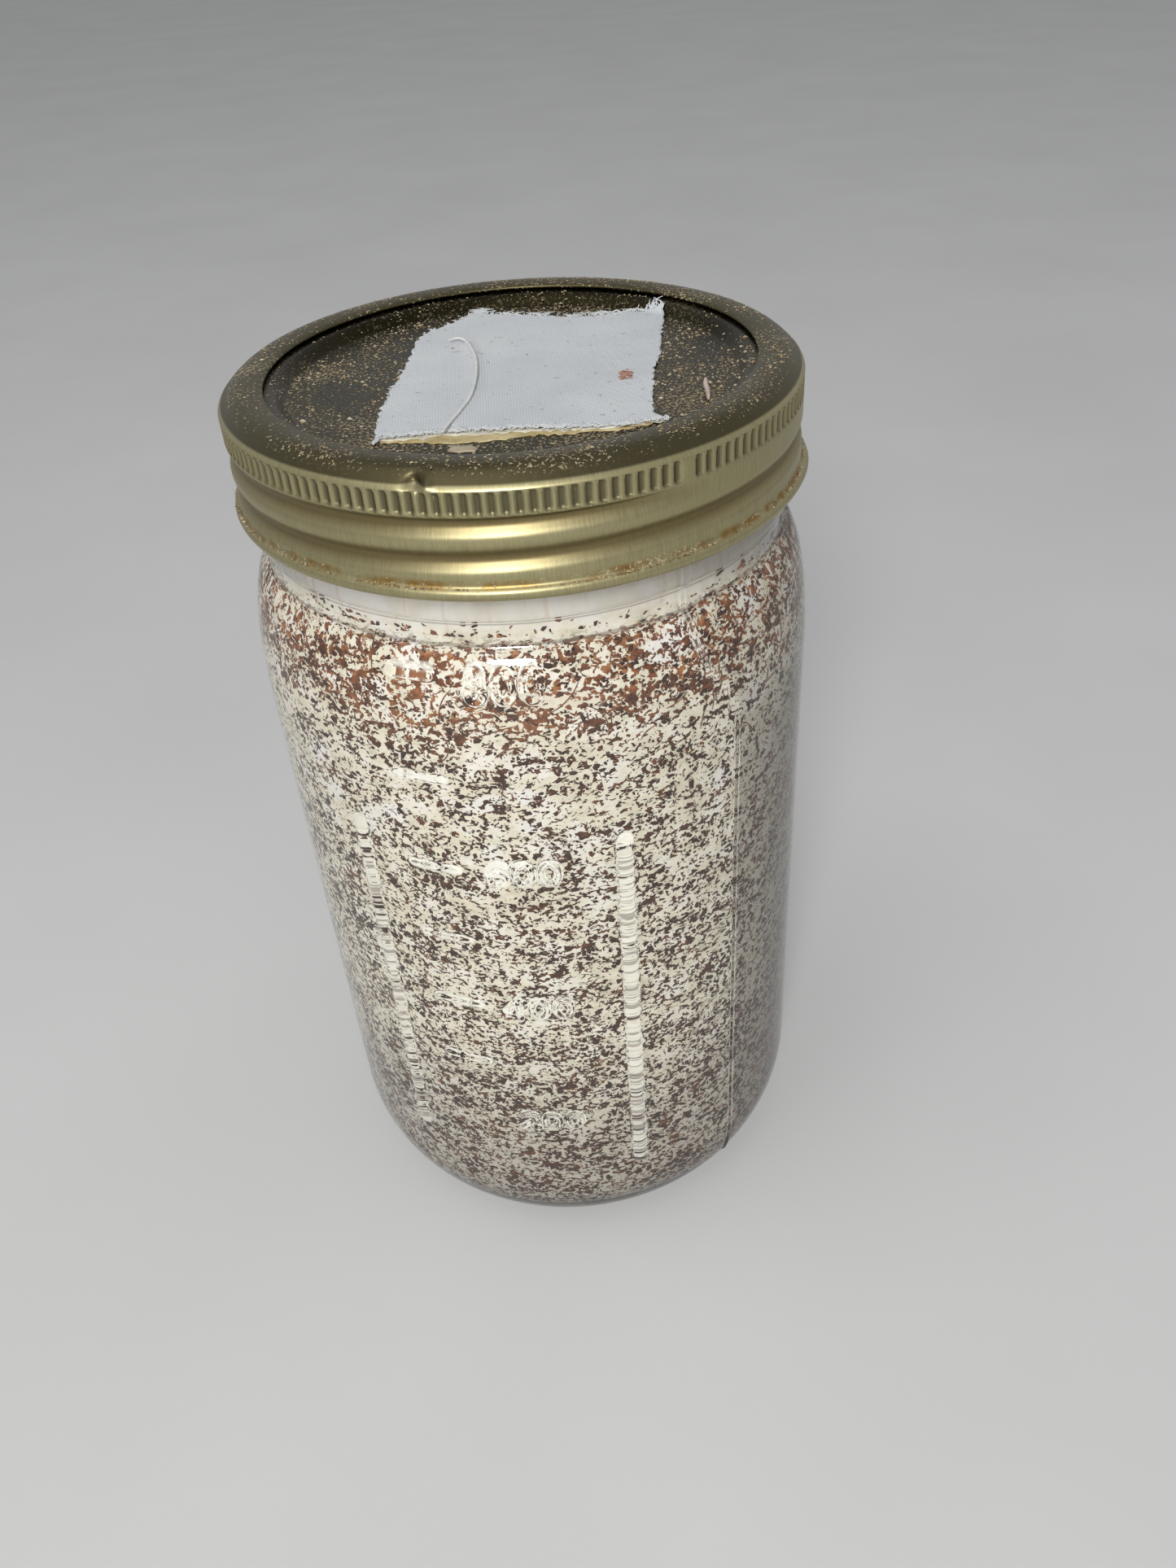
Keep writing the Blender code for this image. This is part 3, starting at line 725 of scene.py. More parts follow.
def build_glass():
    mesh = mesh_from("clear_jar", spin_sectors(glass_points, GLASS_SECTORS, closed=False))
    points = points_of(mesh)
    radius, azimuth, height = polar(points)
    outside = np.array([shoulder_radius(z, False) for z in height])
    on_heel = (height < HEEL_HEIGHT) & (radius > BODY_RADIUS - 4 * MM)
    on_wall = (np.abs(radius - outside) < WALL_SLACK) | on_heel
    on_wall &= (height < COLLAR_TOP - 0.4 * MM) & (height > RELIEF_FOOT * MM)
    amount = np.where(on_wall, glass_relief(azimuth, height) * MM, 0.0)
    on_finish = (height > BEAD_TOP + 0.1 * MM) & (height < JAR_HEIGHT - 0.7 * MM)
    on_finish &= radius > FINISH_RADIUS - 1 * MM
    amount = np.where(on_finish, np.maximum(amount, jar_thread(azimuth, height)), amount)
    on_bead = (height > COLLAR_TOP) & (height < BEAD_TOP) & (radius > FINISH_RADIUS + 0.3 * MM)
    across = turn_away(azimuth, BEAD_SEAM_AZIMUTH) * math.pi / 180.0 * FINISH_RADIUS
    amount += np.where(on_bead, 0.40 * MM * np.exp(-((across / (0.35 * MM)) ** 2)), 0.0)
    push_out(points, amount)
    put_points(mesh, points)
    return adopt_mesh("clear_jar", mesh, glass_material, "glass_jar")


clear_jar = build_glass()
print("glass triangles", sum(len(p.vertices) - 2 for p in clear_jar.data.polygons))

# %% [markdown]
# ## Spawn
# Mycelium binds the grain and bran into one cream block that has taken the shape of the glass. What shows
# is a cream felt, paler where the threads are dense, peppered with thousands of brown bran flakes. The felt
# is one spun mesh with soft lumps. The flakes are thousands of small closed chips, joined in two meshes,
# and the finest specks between them are colour in the felt's own material. Wet mycelium sticks to the glass
# and leaves no air between, so the felt reaches a little into the wall. A thin air gap there would mirror
# at slanting views. Two shares are worked out for each point of the felt and kept as attributes. The right
# shade share is painted shade: it darkens and greys the felt right of the seam. The gathered light is
# painted light: it pales the felt behind raised marks, where they would throw the lamp's light on it.

# %% Surface of the spawn
SPAWN_CONTACT = 0.42 * MM
SPAWN_TOP = spawn_high.z - 0.9 * MM
SPAWN_BOTTOM = BASE_THICKNESS - 0.3 * MM
ROW_DROP = 1.4 * MM
NECK_ROW = 0.8 * MM
RIB_REACH_DEGREES = 4.0
RIB_LIGHT = 0.58


def spawn_radius(height):
    """Radius of the spawn at each height, where it sticks to the glass."""
    heel_top = BASE_THICKNESS + INNER_HEEL_HEIGHT
    in_heel = np.clip((heel_top - height) / INNER_HEEL_HEIGHT, 0.0, 1.0)
    heel = INNER_RADIUS - INNER_HEEL_DEPTH * (1.0 - np.sqrt(1.0 - in_heel**2))
    rise = np.clip((height - SHOULDER_START) / SHOULDER_HEIGHT, 0.0, 1.0)
    shoulder = MOUTH_RADIUS + (INNER_RADIUS - MOUTH_RADIUS) * np.sqrt(1.0 - rise**2)
    return np.minimum(heel, shoulder) + SPAWN_CONTACT


def right_shade_share(azimuth, height):
    """Painted shade: how much the felt is painted darker and greyer, from the seam round the right side, less
    high up and farther back.
    """
    past_seam = turn_away(azimuth, seam_azimuth(height) + 1.6)
    share = smooth_share(0.0, 1.2, past_seam) * (1.0 - smooth_share(42.0, 75.0, past_seam))
    share *= 0.7 + 0.3 * smooth_share(4.0, 26.0, past_seam)
    return share * (1.0 - 0.75 * smooth_share(108 * MM, 132 * MM, height))


def gathered_light(azimuth, height):
    """How much painted light the felt gets behind the raised marks, standing for lamp light they gather.

    The light comes from above and from the front, so it lands lower than the mark and farther round.
    """
    slant = MM * (1.45 - 0.95 * smooth_share(118 * MM, 136 * MM, height))
    slide = 2.5 * np.sin(np.radians(azimuth + 90.0))
    share = np.clip(glass_relief(azimuth - slide, height + slant) / NUMERAL_PROUD, 0.0, 1.0)
    from_ribs = np.min([np.abs(turn_away(azimuth - slide, rib[0])) for rib in RIBS_MM], axis=0)
    return share * np.where(from_ribs < RIB_REACH_DEGREES, RIB_LIGHT, 1.0)


def spawn_section():
    """Half section of the spawn. Its rows are the glass's own, set lower, where the marks' painted light
    lands.
    """
    points = [(r * MM, SPAWN_BOTTOM) for r in (0.0, 12.0, 22.0, 30.0)]
    heel = INNER_HEEL_HEIGHT - 1.2 * MM
    heights = [SPAWN_BOTTOM + 0.25 * MM + heel * (k / 14) ** 1.6 for k in range(15)]
    lowered = [z - ROW_DROP for z in outer_wall_rows()[::-1]]
    wall = [z for z in lowered if z > heights[-1] + 0.4 * MM]
    heights += wall
    heights += list(np.arange(wall[-1] + 0.7 * MM, SPAWN_TOP - 0.6 * MM, NECK_ROW))
    points += [(float(spawn_radius(np.array(z))), z) for z in heights]
    points += [(points[-1][0] - 0.2 * MM, SPAWN_TOP - 0.1 * MM), (36.5 * MM, SPAWN_TOP)]
    points += [(r * MM, SPAWN_TOP) for r in (32.0, 24.0, 14.0, 0.0)]
    return points


# %% Felt material
NECK_START = 139.5 * MM
NECK_FULL = 141.5 * MM
UNDER_COLLAR = (120 * MM, 131 * MM, 137.5 * MM, 139.5 * MM)


def felt_colour(material, place, z, high, at_foot, lit):
    """Cream and white felt: painted shade at the foot, past the seam and in two lines, painted light behind
    marks.
    """
    felt = ramp(
        material,
        grainy(material, place, 210.0, 3.0, 0.6),
        [(0.32, (0.60, 0.54, 0.42)), (0.5, (0.70, 0.645, 0.52)), (0.66, (0.76, 0.72, 0.65))],
    )
    white = between(material, grainy(material, place, 120.0, 2.0), 0.55, 0.70)
    white = times(material, white, arithmetic(material, "MULTIPLY_ADD", high, 0.75, 0.25))
    felt = mix(material, white, felt, (0.75, 0.715, 0.675))
    # Painted shade: the felt darkens towards the foot.
    felt = over(material, felt, (0.37, 0.335, 0.285), at_foot, 0.75)
    # Painted shade right of the seam, darker and greyer.
    felt = over(material, felt, (0.17, 0.15, 0.12), attribute_share(material, "right_shade"), 0.85)
    # Painted light: paler felt behind the raised marks.
    felt = over(material, felt, (0.83, 0.81, 0.74), lit, 0.9)
    drips = grainy(material, object_place(material, (1.0, 1.0, 0.12)), 700.0, 2.0)
    in_neck = between(material, z, NECK_START, NECK_FULL)
    stain = times(material, between(material, drips, 0.56, 0.68), in_neck)
    felt = over(material, felt, (0.55, 0.36, 0.22), stain, 0.45)
    felt = over(material, felt, (0.80, 0.76, 0.74), in_neck, 0.35)
    # Two thin lines of painted shade, one just under the bead and one just under the collar.
    for line in (COLLAR_TOP - 1.3 * MM, SHOULDER_TOP - 0.7 * MM):
        above = between(material, z, line - 0.40 * MM, line - 0.08 * MM)
        below = between(material, z, line + 0.40 * MM, line + 0.08 * MM)
        felt = over(material, felt, (0.20, 0.17, 0.13), times(material, above, below), 0.6)
    return felt


def bran_specks(material, place, z, high, at_foot, lit):
    """Where the finest bran lies and what colour it has: densest and rustiest under the collar."""
    foot, full, fade, top = UNDER_COLLAR
    under_collar = times(material, between(material, z, foot, full), between(material, z, top, fade))
    level = arithmetic(material, "MULTIPLY_ADD", grainy(material, place, 160.0, 2.0), 0.22, -0.11)
    for zone, change in ((under_collar, 0.045), (high, -0.012), (at_foot, 0.015)):
        level = arithmetic(material, "MULTIPLY_ADD", zone, change, level)
    fine = arithmetic(material, "ADD", grainy(material, place, 1250.0, 2.0, 0.55), level)
    coarse = arithmetic(material, "ADD", grainy(material, place, 760.0, 2.0, 0.6, 0.7), level)
    small = between(material, fine, 0.59, 0.62)
    large = between(material, coarse, 0.555, 0.585)
    dark = arithmetic(material, "MAXIMUM", small, large)
    dark = times(material, dark, between(material, z, 140.5 * MM, 137.5 * MM))
    # Fewer specks where the marks' painted light lies.
    dark = times(material, dark, arithmetic(material, "MULTIPLY_ADD", lit, -0.8, 1.0))
    brown = ramp(
        material,
        grainy(material, place, 420.0, 2.0),
        [(0.35, (0.030, 0.010, 0.004)), (0.52, (0.062, 0.022, 0.008)), (0.68, (0.15, 0.052, 0.016))],
    )
    rust = ramp(
        material,
        grainy(material, place, 500.0, 2.0),
        [(0.35, (0.07, 0.022, 0.008)), (0.55, (0.20, 0.065, 0.018)), (0.7, (0.36, 0.15, 0.05))],
    )
    return dark, mix(material, under_collar, brown, rust)


def cream_material():
    """Felted mycelium with the finest bran in it."""
    material = new_material("mycelium", (0.74, 0.69, 0.56), 0.82)
    place = object_place(material, (1.0, 1.0, 1.28))
    z = object_height(material)
    high = between(material, z, 84.0 * MM, 112.0 * MM)
    at_foot = between(material, z, 66.0 * MM, 18.0 * MM)
    lit = attribute_share(material, "gathered_light")
    felt = felt_colour(material, place, z, high, at_foot, lit)
    dark, bran = bran_specks(material, place, z, high, at_foot, lit)
    feed(material, mix(material, dark, felt, bran), "Base Color")
    lumps = arithmetic(material, "MULTIPLY_ADD", dark, -0.4, grainy(material, place, 700.0, 3.0))
    set_bump(material, lumps, 0.4 * MM, 0.6)
    return material


# %% Build the spawn
LUMP_DEPTH = 0.13 * MM
CROWN_LUMP = 0.9 * MM


def build_spawn():
    mesh = mesh_from("mycelium_block", spin_sectors(spawn_section(), GLASS_SECTORS, closed=False))
    points = points_of(mesh)
    radius, azimuth, height = polar(points)
    for name, share in (("gathered_light", gathered_light), ("right_shade", right_shade_share)):
        put_share(mesh, name, np.where(radius > 30 * MM, share(azimuth, height), 0.0))
    lump = noise_at(points, 320.0) + 0.5 * noise_at(points, 800.0)
    inward = LUMP_DEPTH * (1.0 + lump)
    push_out(points, np.where(radius > 5 * MM, -inward, 0.0))
    crown = height > SPAWN_TOP - 0.2 * MM
    points[:, 2] += np.where(crown, CROWN_LUMP * noise_at(points, 90.0), 0.0)
    put_points(mesh, points)
    adopt_mesh("mycelium_block", mesh, cream_material(), "grain_spawn")


build_spawn()

# %% Helpers for threads and fibres
def evaluated_mesh(name, holder):
    """What an object comes to with its curve or modifiers, as a mesh. The object itself is removed."""
    graph = bpy.context.evaluated_depsgraph_get()
    mesh = bpy.data.meshes.new_from_object(holder.evaluated_get(graph))
    bpy.data.objects.remove(holder, do_unlink=True)
    mesh.name = name
    mesh.materials.clear()
    return mesh


def strand_mesh(name, strands, radius):
    """Thin closed tubes through the points of each strand, in metres, as one mesh."""
    curve = bpy.data.curves.new(name, "CURVE")
    curve.dimensions = "3D"
    curve.bevel_depth = radius
    curve.bevel_resolution = 1
    curve.use_fill_caps = True
    for strand in strands:
        spline = curve.splines.new("POLY")
        spline.points.add(len(strand) - 1)
        for index, (point, place) in enumerate(zip(spline.points, strand)):
            point.co = (*place, 1.0)
            point.radius = 1.0 - 0.5 * abs(2.0 * index / (len(strand) - 1) - 1.0) ** 3
    return evaluated_mesh(name, link_object(name, curve))


def thread_material(name, first, second):
    """A dull thread that wanders between two colours."""
    material = new_material(name, first, 0.8)
    pattern = grainy(material, object_place(material), 500.0)
    tint_by(material, pattern, [(0.3, first), (0.7, second)])
    return material


# %% Places and colours of the bran flakes
FLAKE_COUNT = 15000
FLAKE_TRIES = 5


def flake_density(height, patch):
    """Share of flakes kept at each height: dense and rusty under the collar, almost none in the neck."""
    body = 1.2 - 0.35 * smooth_share(34 * MM, 62 * MM, height)
    body -= 0.2 * smooth_share(96 * MM, 110 * MM, height)
    collar = 1.0 + 1.7 * smooth_share(125 * MM, 133 * MM, height)
    neck = 1.0 - 0.9 * smooth_share(138.4 * MM, 141.6 * MM, height)
    neck *= 1.0 - 0.85 * smooth_share(141.5 * MM, 143.5 * MM, height)
    return body * collar * neck * patch


def flake_material():
    """Bran: dark brown to rust, by each flake's own tone."""
    material = new_material("bran", (0.06, 0.025, 0.01), 0.7)
    colour = ramp(
        material,
        attribute_share(material, "tone"),
        [
            (0.0, (0.022, 0.008, 0.004)),
            (0.4, (0.052, 0.018, 0.007)),
            (0.68, (0.11, 0.034, 0.011)),
            (0.86, (0.26, 0.080, 0.022)),
            (1.0, (0.42, 0.19, 0.070)),
        ],
    )
    speckle = grainy(material, object_place(material), 2600.0, 2.0)
    shade = ramp(material, speckle, [(0.35, 0.25), (0.7, 1.0)])
    feed(material, mix(material, 0.35, colour, shade, "MULTIPLY"), "Base Color")
    set_bump(material, speckle, 0.2 * MM, 0.5)
    return material


def scatter_flakes(random, count):
    """Random places on the spawn's wall as (azimuth, height, tone), thinned by height, patches and clumps."""
    tried = count * FLAKE_TRIES
    angle = random.uniform(-math.pi, math.pi, tried)
    height = random.uniform(9.0 * MM, 147.0 * MM, tried)
    radius = spawn_radius(height)
    places = np.column_stack([radius * np.cos(angle), radius * np.sin(angle), height])
    patch = np.clip(0.62 + 1.1 * noise_at(places, 130.0), 0.12, 1.0)
    clump = np.clip(0.5 + 1.9 * noise_at(places, 620.0), 0.05, 1.0)
    # Fewer flakes where the marks' painted light lies.
    clear = 1.0 - 0.6 * gathered_light(np.degrees(angle), height)
    density = flake_density(height, patch * clump * clear)
    kept = np.flatnonzero(random.uniform(0.0, 1.3, tried) < density)[:count]
    rust = smooth_share(120 * MM, 136 * MM, height[kept])
    tone = np.clip(random.normal(0.33 + 0.27 * rust, 0.15 + 0.08 * rust), 0.0, 1.0)
    return angle[kept], height[kept], tone


# %% Build the flakes and fibres
FIBRE_COUNT = 90
FIBRE_STEPS = 8


def join_chips(name, centres, outward, along, length, width, bend, top, bottom, tones, random, sides=5):
    """Joins small closed chips, each an irregular bent ring with a raised middle and a sunk back."""
    count = len(centres)
    around = np.arange(sides) * math.tau / sides
    reach = random.uniform(0.7, 1.25, (count, sides))
    u = np.cos(around) * reach * length[:, None]
    v = np.sin(around) * reach * width[:, None] + bend[:, None] * u * u / length[:, None]
    upward = np.cross(outward, along)
    ring = centres[:, None] + along[:, None] * u[..., None] + upward[:, None] * v[..., None]
    peak = centres + outward * np.reshape(top, (-1, 1))
    back = centres - outward * np.reshape(bottom, (-1, 1))
    vertices = np.concatenate([ring, peak[:, None], back[:, None]], axis=1).reshape(-1, 3)
    first = np.arange(count)[:, None] * (sides + 2)
    side = np.arange(sides)
    after = (side + 1) % sides
    upper = np.stack([first + side, first + after, first + sides + 0 * side], axis=-1)
    lower = np.stack([first + after, first + side, first + sides + 1 + 0 * side], axis=-1)
    faces = np.concatenate([upper, lower], axis=1).reshape(-1, 3)
    mesh = bpy.data.meshes.new(name)
    mesh.from_pydata(vertices.tolist(), [], faces.tolist())
    put_share(mesh, "tone", np.repeat(tones, 2 * sides), "FACE")
    return mesh


def chip_lengths(random, count, middle, spread, longest):
    """Log-normal lengths in metres, by the log's middle and spread and the longest length in millimetres."""
    return np.minimum(random.lognormal(middle, spread, count), longest) * MM


def build_flakes(name, seed, count):
    random = np.random.default_rng(seed)
    angle, height, tones = scatter_flakes(random, count)
    count = len(angle)
    outward = np.column_stack([np.cos(angle), np.sin(angle), np.zeros(count)])
    level = np.column_stack([-np.sin(angle), np.cos(angle), np.zeros(count)])
    tilt = random.normal(0.0, 0.9, count)[:, None]
    along = level * np.cos(tilt) + np.array((0.0, 0.0, 1.0)) * np.sin(tilt)
    radius = spawn_radius(height) - 0.06 * MM
    centres = outward * radius[:, None]
    centres[:, 2] = height
    length = chip_lengths(random, count, -0.92, 0.36, 1.0)
    width = length * random.uniform(0.28, 0.75, count)
    bend = random.uniform(-0.5, 0.5, count)
    top, bottom = 0.13 * MM, 0.12 * MM
    mesh = join_chips(name, centres, outward, along, length, width, bend, top, bottom, tones, random)
    adopt_mesh(name, mesh, bran_material, smooth=False)


def build_fibres():
    """Long thin bran fibres that lie curved on the wall, most of them just under the collar."""
    random = np.random.default_rng(71)
    strands = []
    for _ in range(FIBRE_COUNT):
        turn = random.uniform(-math.pi, math.pi)
        height = random.triangular(112.0, 134.0, 138.0) * MM
        length = random.uniform(3.0, 8.0) * MM
        heading = random.normal(0.4, 0.8)
        curl = random.normal(0.0, 1.6)
        strand = []
        for _ in range(FIBRE_STEPS):
            strand.append((turn, height))
            heading += curl / FIBRE_STEPS
            turn += math.cos(heading) * length / FIBRE_STEPS / INNER_RADIUS
            height = min(height + math.sin(heading) * length / FIBRE_STEPS, NECK_START)
        turns, heights = np.array(strand).T
        radius = spawn_radius(heights) - 0.02 * MM
        strands.append(list(zip(radius * np.cos(turns), radius * np.sin(turns), heights)))
    mesh = strand_mesh("bran_fibres", strands, 0.10 * MM)
    material = thread_material("bran_fibre", (0.05, 0.020, 0.010), (0.24, 0.085, 0.03))
    adopt_mesh("bran_fibres", mesh, material)


bran_material = flake_material()
build_flakes("bran_flakes_1", 11, FLAKE_COUNT)
build_flakes("bran_flakes_2", 23, FLAKE_COUNT)
build_fibres()

# %% [markdown]
# ## Lid
# The lid is thin lacquered tinplate: a sunk panel, a slope and the channel that holds the sealing compound.
# Its bronze lacquer is dark, and spawn dust has settled on it. The disc is spun from its thin section. The
# dust film is colour and roughness in the material, and the crumbs are small solid chips.

# %% Section of the lid
CHANNEL_TOP = lid_high.z
PANEL_DEPTH = 1.9 * MM
PANEL_RADIUS = 34.6 * MM
PANEL_SLOPE = 2.7 * MM
DISC_RADIUS = lid_high.x
SHEET = 0.5 * MM
CURL_HEIGHT = 1.7 * MM
PANEL_TOP = CHANNEL_TOP - PANEL_DEPTH


def lid_height(radius):
    """Height of the lid's upper side at each radius."""
    return PANEL_TOP + PANEL_DEPTH * smooth_share(PANEL_RADIUS, PANEL_RADIUS + PANEL_SLOPE, radius)


def lid_section():
    radii = [0.0, 8.0, 16.0, 24.0, 30.0, 33.0, 34.2]
    upper = [(r * MM, PANEL_TOP) for r in radii]
    slope = [PANEL_RADIUS + PANEL_SLOPE * k / 8 for k in range(9)]
    upper += [(r, float(lid_height(np.array(r)))) for r in slope]
    upper += [(39.5 * MM, CHANNEL_TOP)]
    upper += arc((DISC_RADIUS - 0.5 * MM, CHANNEL_TOP - 0.5 * MM), 0.5 * MM, 0.5 * MM, 90, 0, 4)
    skirt = [(DISC_RADIUS, CHANNEL_TOP - CURL_HEIGHT), (DISC_RADIUS - SHEET, CHANNEL_TOP - CURL_HEIGHT)]
    lower = [(DISC_RADIUS - SHEET, CHANNEL_TOP - SHEET)]
    lower += [(r + SHEET / 3, float(lid_height(np.array(r))) - SHEET) for r in slope[::-1]]
    lower += [(20.0 * MM, PANEL_TOP - SHEET), (0.0, PANEL_TOP - SHEET)]
    return upper + skirt + lower


# %% Lid material
SCRATCHES_MM = [
    ((-30.5, 0.2), (-20.3, -22.2)),
    ((-25.0, -10.0), (-19.6, -16.8)),
    ((-29.6, 3.6), (-26.0, -2.0)),
]


def dust_mask(material, place, amount):
    """Fine dust: tiny specks gathered in loose patches. A larger amount gives more specks."""
    patches = grainy(material, place, 60.0, 2.0)
    specks = grainy(material, place, 1900.0, 2.0, 0.7)
    level = arithmetic(material, "MULTIPLY_ADD", patches, 0.34, -0.17 + amount)
    return between(material, arithmetic(material, "ADD", specks, level), 0.60, 0.66)


def scratch_mask(material, start, end):
    """1 along a straight scratch between two places on the lid, in millimetres."""
    turn = math.atan2(end[1] - start[1], end[0] - start[0])
    length = math.hypot(end[0] - start[0], end[1] - start[1]) * MM
    place = add_node(material, "TexCoord").outputs["Object"]
    shift = (-start[0] * MM, -start[1] * MM, 0.0)
    moved = add_node(material, "Mapping", {"Vector": place, "Location": shift}).outputs["Vector"]
    turned = add_node(material, "Mapping", {"Vector": moved, "Rotation": (0.0, 0.0, -turn)}).outputs["Vector"]
    split = add_node(material, "SeparateXYZ", {"Vector": turned})
    off = arithmetic(material, "ABSOLUTE", split.outputs["Y"])
    narrow = between(material, off, 0.22 * MM, 0.10 * MM)
    begin = between(material, split.outputs["X"], 0.0, 0.6 * MM)
    stop = between(material, split.outputs["X"], length, length - 1.5 * MM)
    return times(material, narrow, times(material, begin, stop))


def lid_material():
    material = new_material("bronze_lacquer", (0.10, 0.08, 0.045), 0.38, 0.95)
    feed(material, 0.2, "Specular IOR Level")
    place = object_place(material)
    z = object_height(material)
    cloud = grainy(material, place, 38.0, 3.0)
    lacquer = ramp(material, cloud, [(0.35, (0.019, 0.016, 0.007)), (0.7, (0.038, 0.032, 0.014))])
    level = between(material, z, PANEL_TOP + 0.25 * MM, PANEL_TOP + 0.02 * MM)
    dust = dust_mask(material, place, 0.025)
    dust = times(material, dust, arithmetic(material, "MULTIPLY_ADD", level, 0.75, 0.25))
    film = times(material, times(material, grainy(material, place, 90.0, 3.0), 0.11), level)
    hazy = mix(material, film, lacquer, (0.20, 0.155, 0.075))
    for start, end in SCRATCHES_MM:
        hazy = over(material, hazy, (0.012, 0.010, 0.007), scratch_mask(material, start, end), 0.75)
    feed(material, mix(material, dust, hazy, (0.36, 0.29, 0.175)), "Base Color")
    cover = arithmetic(material, "MAXIMUM", dust, film)
    feed(material, arithmetic(material, "MULTIPLY_ADD", cover, 0.45, 0.34), "Roughness")
    feed(material, arithmetic(material, "MULTIPLY_ADD", cover, -0.9, 0.95, clamp=True), "Metallic")
    set_bump(material, dust, 0.1 * MM, 0.7)
    return material


# %% Build the lid and its sealing ring
RING_INNER_RADIUS = 38.5 * MM
RING_CHAMFER = 0.2 * MM


def build_lid():
    mesh = mesh_from("bronze_lid", spin_sectors(lid_section(), [(0.0, 360.0, 160)], closed=False))
    return adopt_mesh("bronze_lid", mesh, lid_material(), "lid_disc")


def build_ring():
    ring_low, ring_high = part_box("sealing_ring")
    inner, outer = RING_INNER_RADIUS, ring_high.x
    section = [
        (inner, ring_high.z),
        (outer, ring_high.z),
        (outer, ring_low.z + RING_CHAMFER),
        (outer - RING_CHAMFER, ring_low.z),
        (inner + RING_CHAMFER, ring_low.z),
        (inner, ring_low.z + RING_CHAMFER),
    ]
    material = new_material("sealing_compound", (0.5, 0.28, 0.18), 0.6)
    pattern = grainy(material, object_place(material), 300.0)
    tint_by(material, pattern, [(0.3, (0.42, 0.22, 0.14)), (0.7, (0.55, 0.33, 0.22))])
    mesh = mesh_from("compound_ring", spin_sectors(section, [(0.0, 360.0, 120)]))
    adopt_mesh("compound_ring", mesh, material, "sealing_ring")


bronze_lid = build_lid()
build_ring()

# %% [markdown]
# ## Screw band
# The band is pale gold tinplate, rolled in one piece: a crown that folds in over the lid, a knurled grip of
# narrow pockets with rounded ends, a groove that winds round as the screw thread, and a rolled hem. The
# band's section is spun once and every relief is a formula of azimuth and height, so the knurl stays
# exactly even. One pocket is missing where the strip's ends overlap, and the shoulder has a small pinch.

# %% Half section and relief of the band
BAND_RADIUS = 45.25 * MM
BAND_TOP = band_high.z
BAND_BOTTOM = band_low.z
CREST_RADIUS = 41.2 * MM
BAND_OPENING = 38.1 * MM
KNURL_TOP = BAND_TOP - 2.55 * MM
KNURL_BOTTOM = KNURL_TOP - 3.4 * MM
KNURL_COUNT = 156
KNURL_DEPTH = 0.46 * MM
KNURL_GAP_AZIMUTH = -60.8
HEM_TOP = BAND_BOTTOM + 2.1 * MM
HEM_RADIUS = 46.0 * MM
GROOVE_START = BAND_BOTTOM + GROOVE_RISE
GROOVE_START_AZIMUTH = 110.0
GROOVE_TURNS = 1.55
GROOVE_DEPTH = 0.95 * MM
GROOVE_HALF_WIDTH = 2.2 * MM
KNURL_PITCH = 360.0 / KNURL_COUNT
KNURL_ROWS = 10
POCKET_HALF = 0.36
POCKET_STRAIGHT = 1.05 * MM
POCKET_ROUND = 0.62 * MM
GROOVE_ROW = 0.36 * MM


def band_section():
    opening = [(0.05, -0.75), (0.0, -0.5), (0.25, -0.3), (1.2, -0.12)]
    crest = [(-0.8, -0.02), (0.0, 0.0), (0.8, -0.07), (1.5, -0.27), (2.1, -0.62)]
    slope = [(-1.35, -1.08), (-0.9, -1.5), (-0.5, -1.88), (-0.18, -2.2)]
    outer = steps_from(BAND_OPENING, BAND_TOP, opening)
    outer += steps_from(CREST_RADIUS, BAND_TOP, crest)
    outer += steps_from(BAND_RADIUS, BAND_TOP, slope)
    outer += [(BAND_RADIUS - 0.03 * MM, KNURL_TOP + 0.08 * MM)]
    for row in range(KNURL_ROWS + 1):
        outer.append((BAND_RADIUS, KNURL_TOP + (KNURL_BOTTOM - KNURL_TOP) * row / KNURL_ROWS))
    outer += rows_between(BAND_RADIUS, KNURL_BOTTOM, HEM_TOP, GROOVE_ROW)
    hem_middle = (BAND_RADIUS - SHEET / 2, BAND_BOTTOM + (HEM_TOP - BAND_BOTTOM) / 2)
    outer += [(BAND_RADIUS + 0.05 * MM, HEM_TOP + 0.05 * MM)]
    outer += arc(hem_middle, HEM_RADIUS - hem_middle[0], (HEM_TOP - BAND_BOTTOM) / 2, 58, -90, 9)
    inner = [(BAND_RADIUS - SHEET, BAND_BOTTOM + 0.3 * MM)]
    inner += rows_between(BAND_RADIUS - SHEET, BAND_BOTTOM + 0.3 * MM, KNURL_BOTTOM, 0.8 * MM)
    inner += [(BAND_RADIUS - SHEET, KNURL_BOTTOM), (BAND_RADIUS - SHEET, KNURL_TOP)]
    inner += steps_from(BAND_RADIUS, BAND_TOP, [(-1.6, -1.4)])
    inner += steps_from(CREST_RADIUS, BAND_TOP, [(1.4, -0.85), (0.0, -0.93)])
    return outer + inner + steps_from(BAND_OPENING, BAND_TOP, [(0.4, -0.93)])


def groove_share(azimuth, height):
    """How deep the rolled groove is at each point, from 0 to 1. It climbs as a right-hand screw."""
    share = np.zeros(len(height))
    turned = (azimuth - GROOVE_START_AZIMUTH) % 360.0
    total = 360.0 * GROOVE_TURNS
    for lap in (0.0, 360.0):
        along = turned + lap
        across = np.abs(height - GROOVE_START - THREAD_PITCH * along / 360.0) / GROOVE_HALF_WIDTH
        ends = smooth_share(0.0, 23.0, along) * smooth_share(0.0, 29.0, total - along)
        hollow = np.where(across < 1.0, 0.5 + 0.5 * np.cos(math.pi * across), 0.0)
        share = np.maximum(share, ends * hollow)
    share *= smooth_share(HEM_TOP, HEM_TOP + 0.6 * MM, height)
    return share * smooth_share(0.0, 0.6 * MM, KNURL_BOTTOM - height)


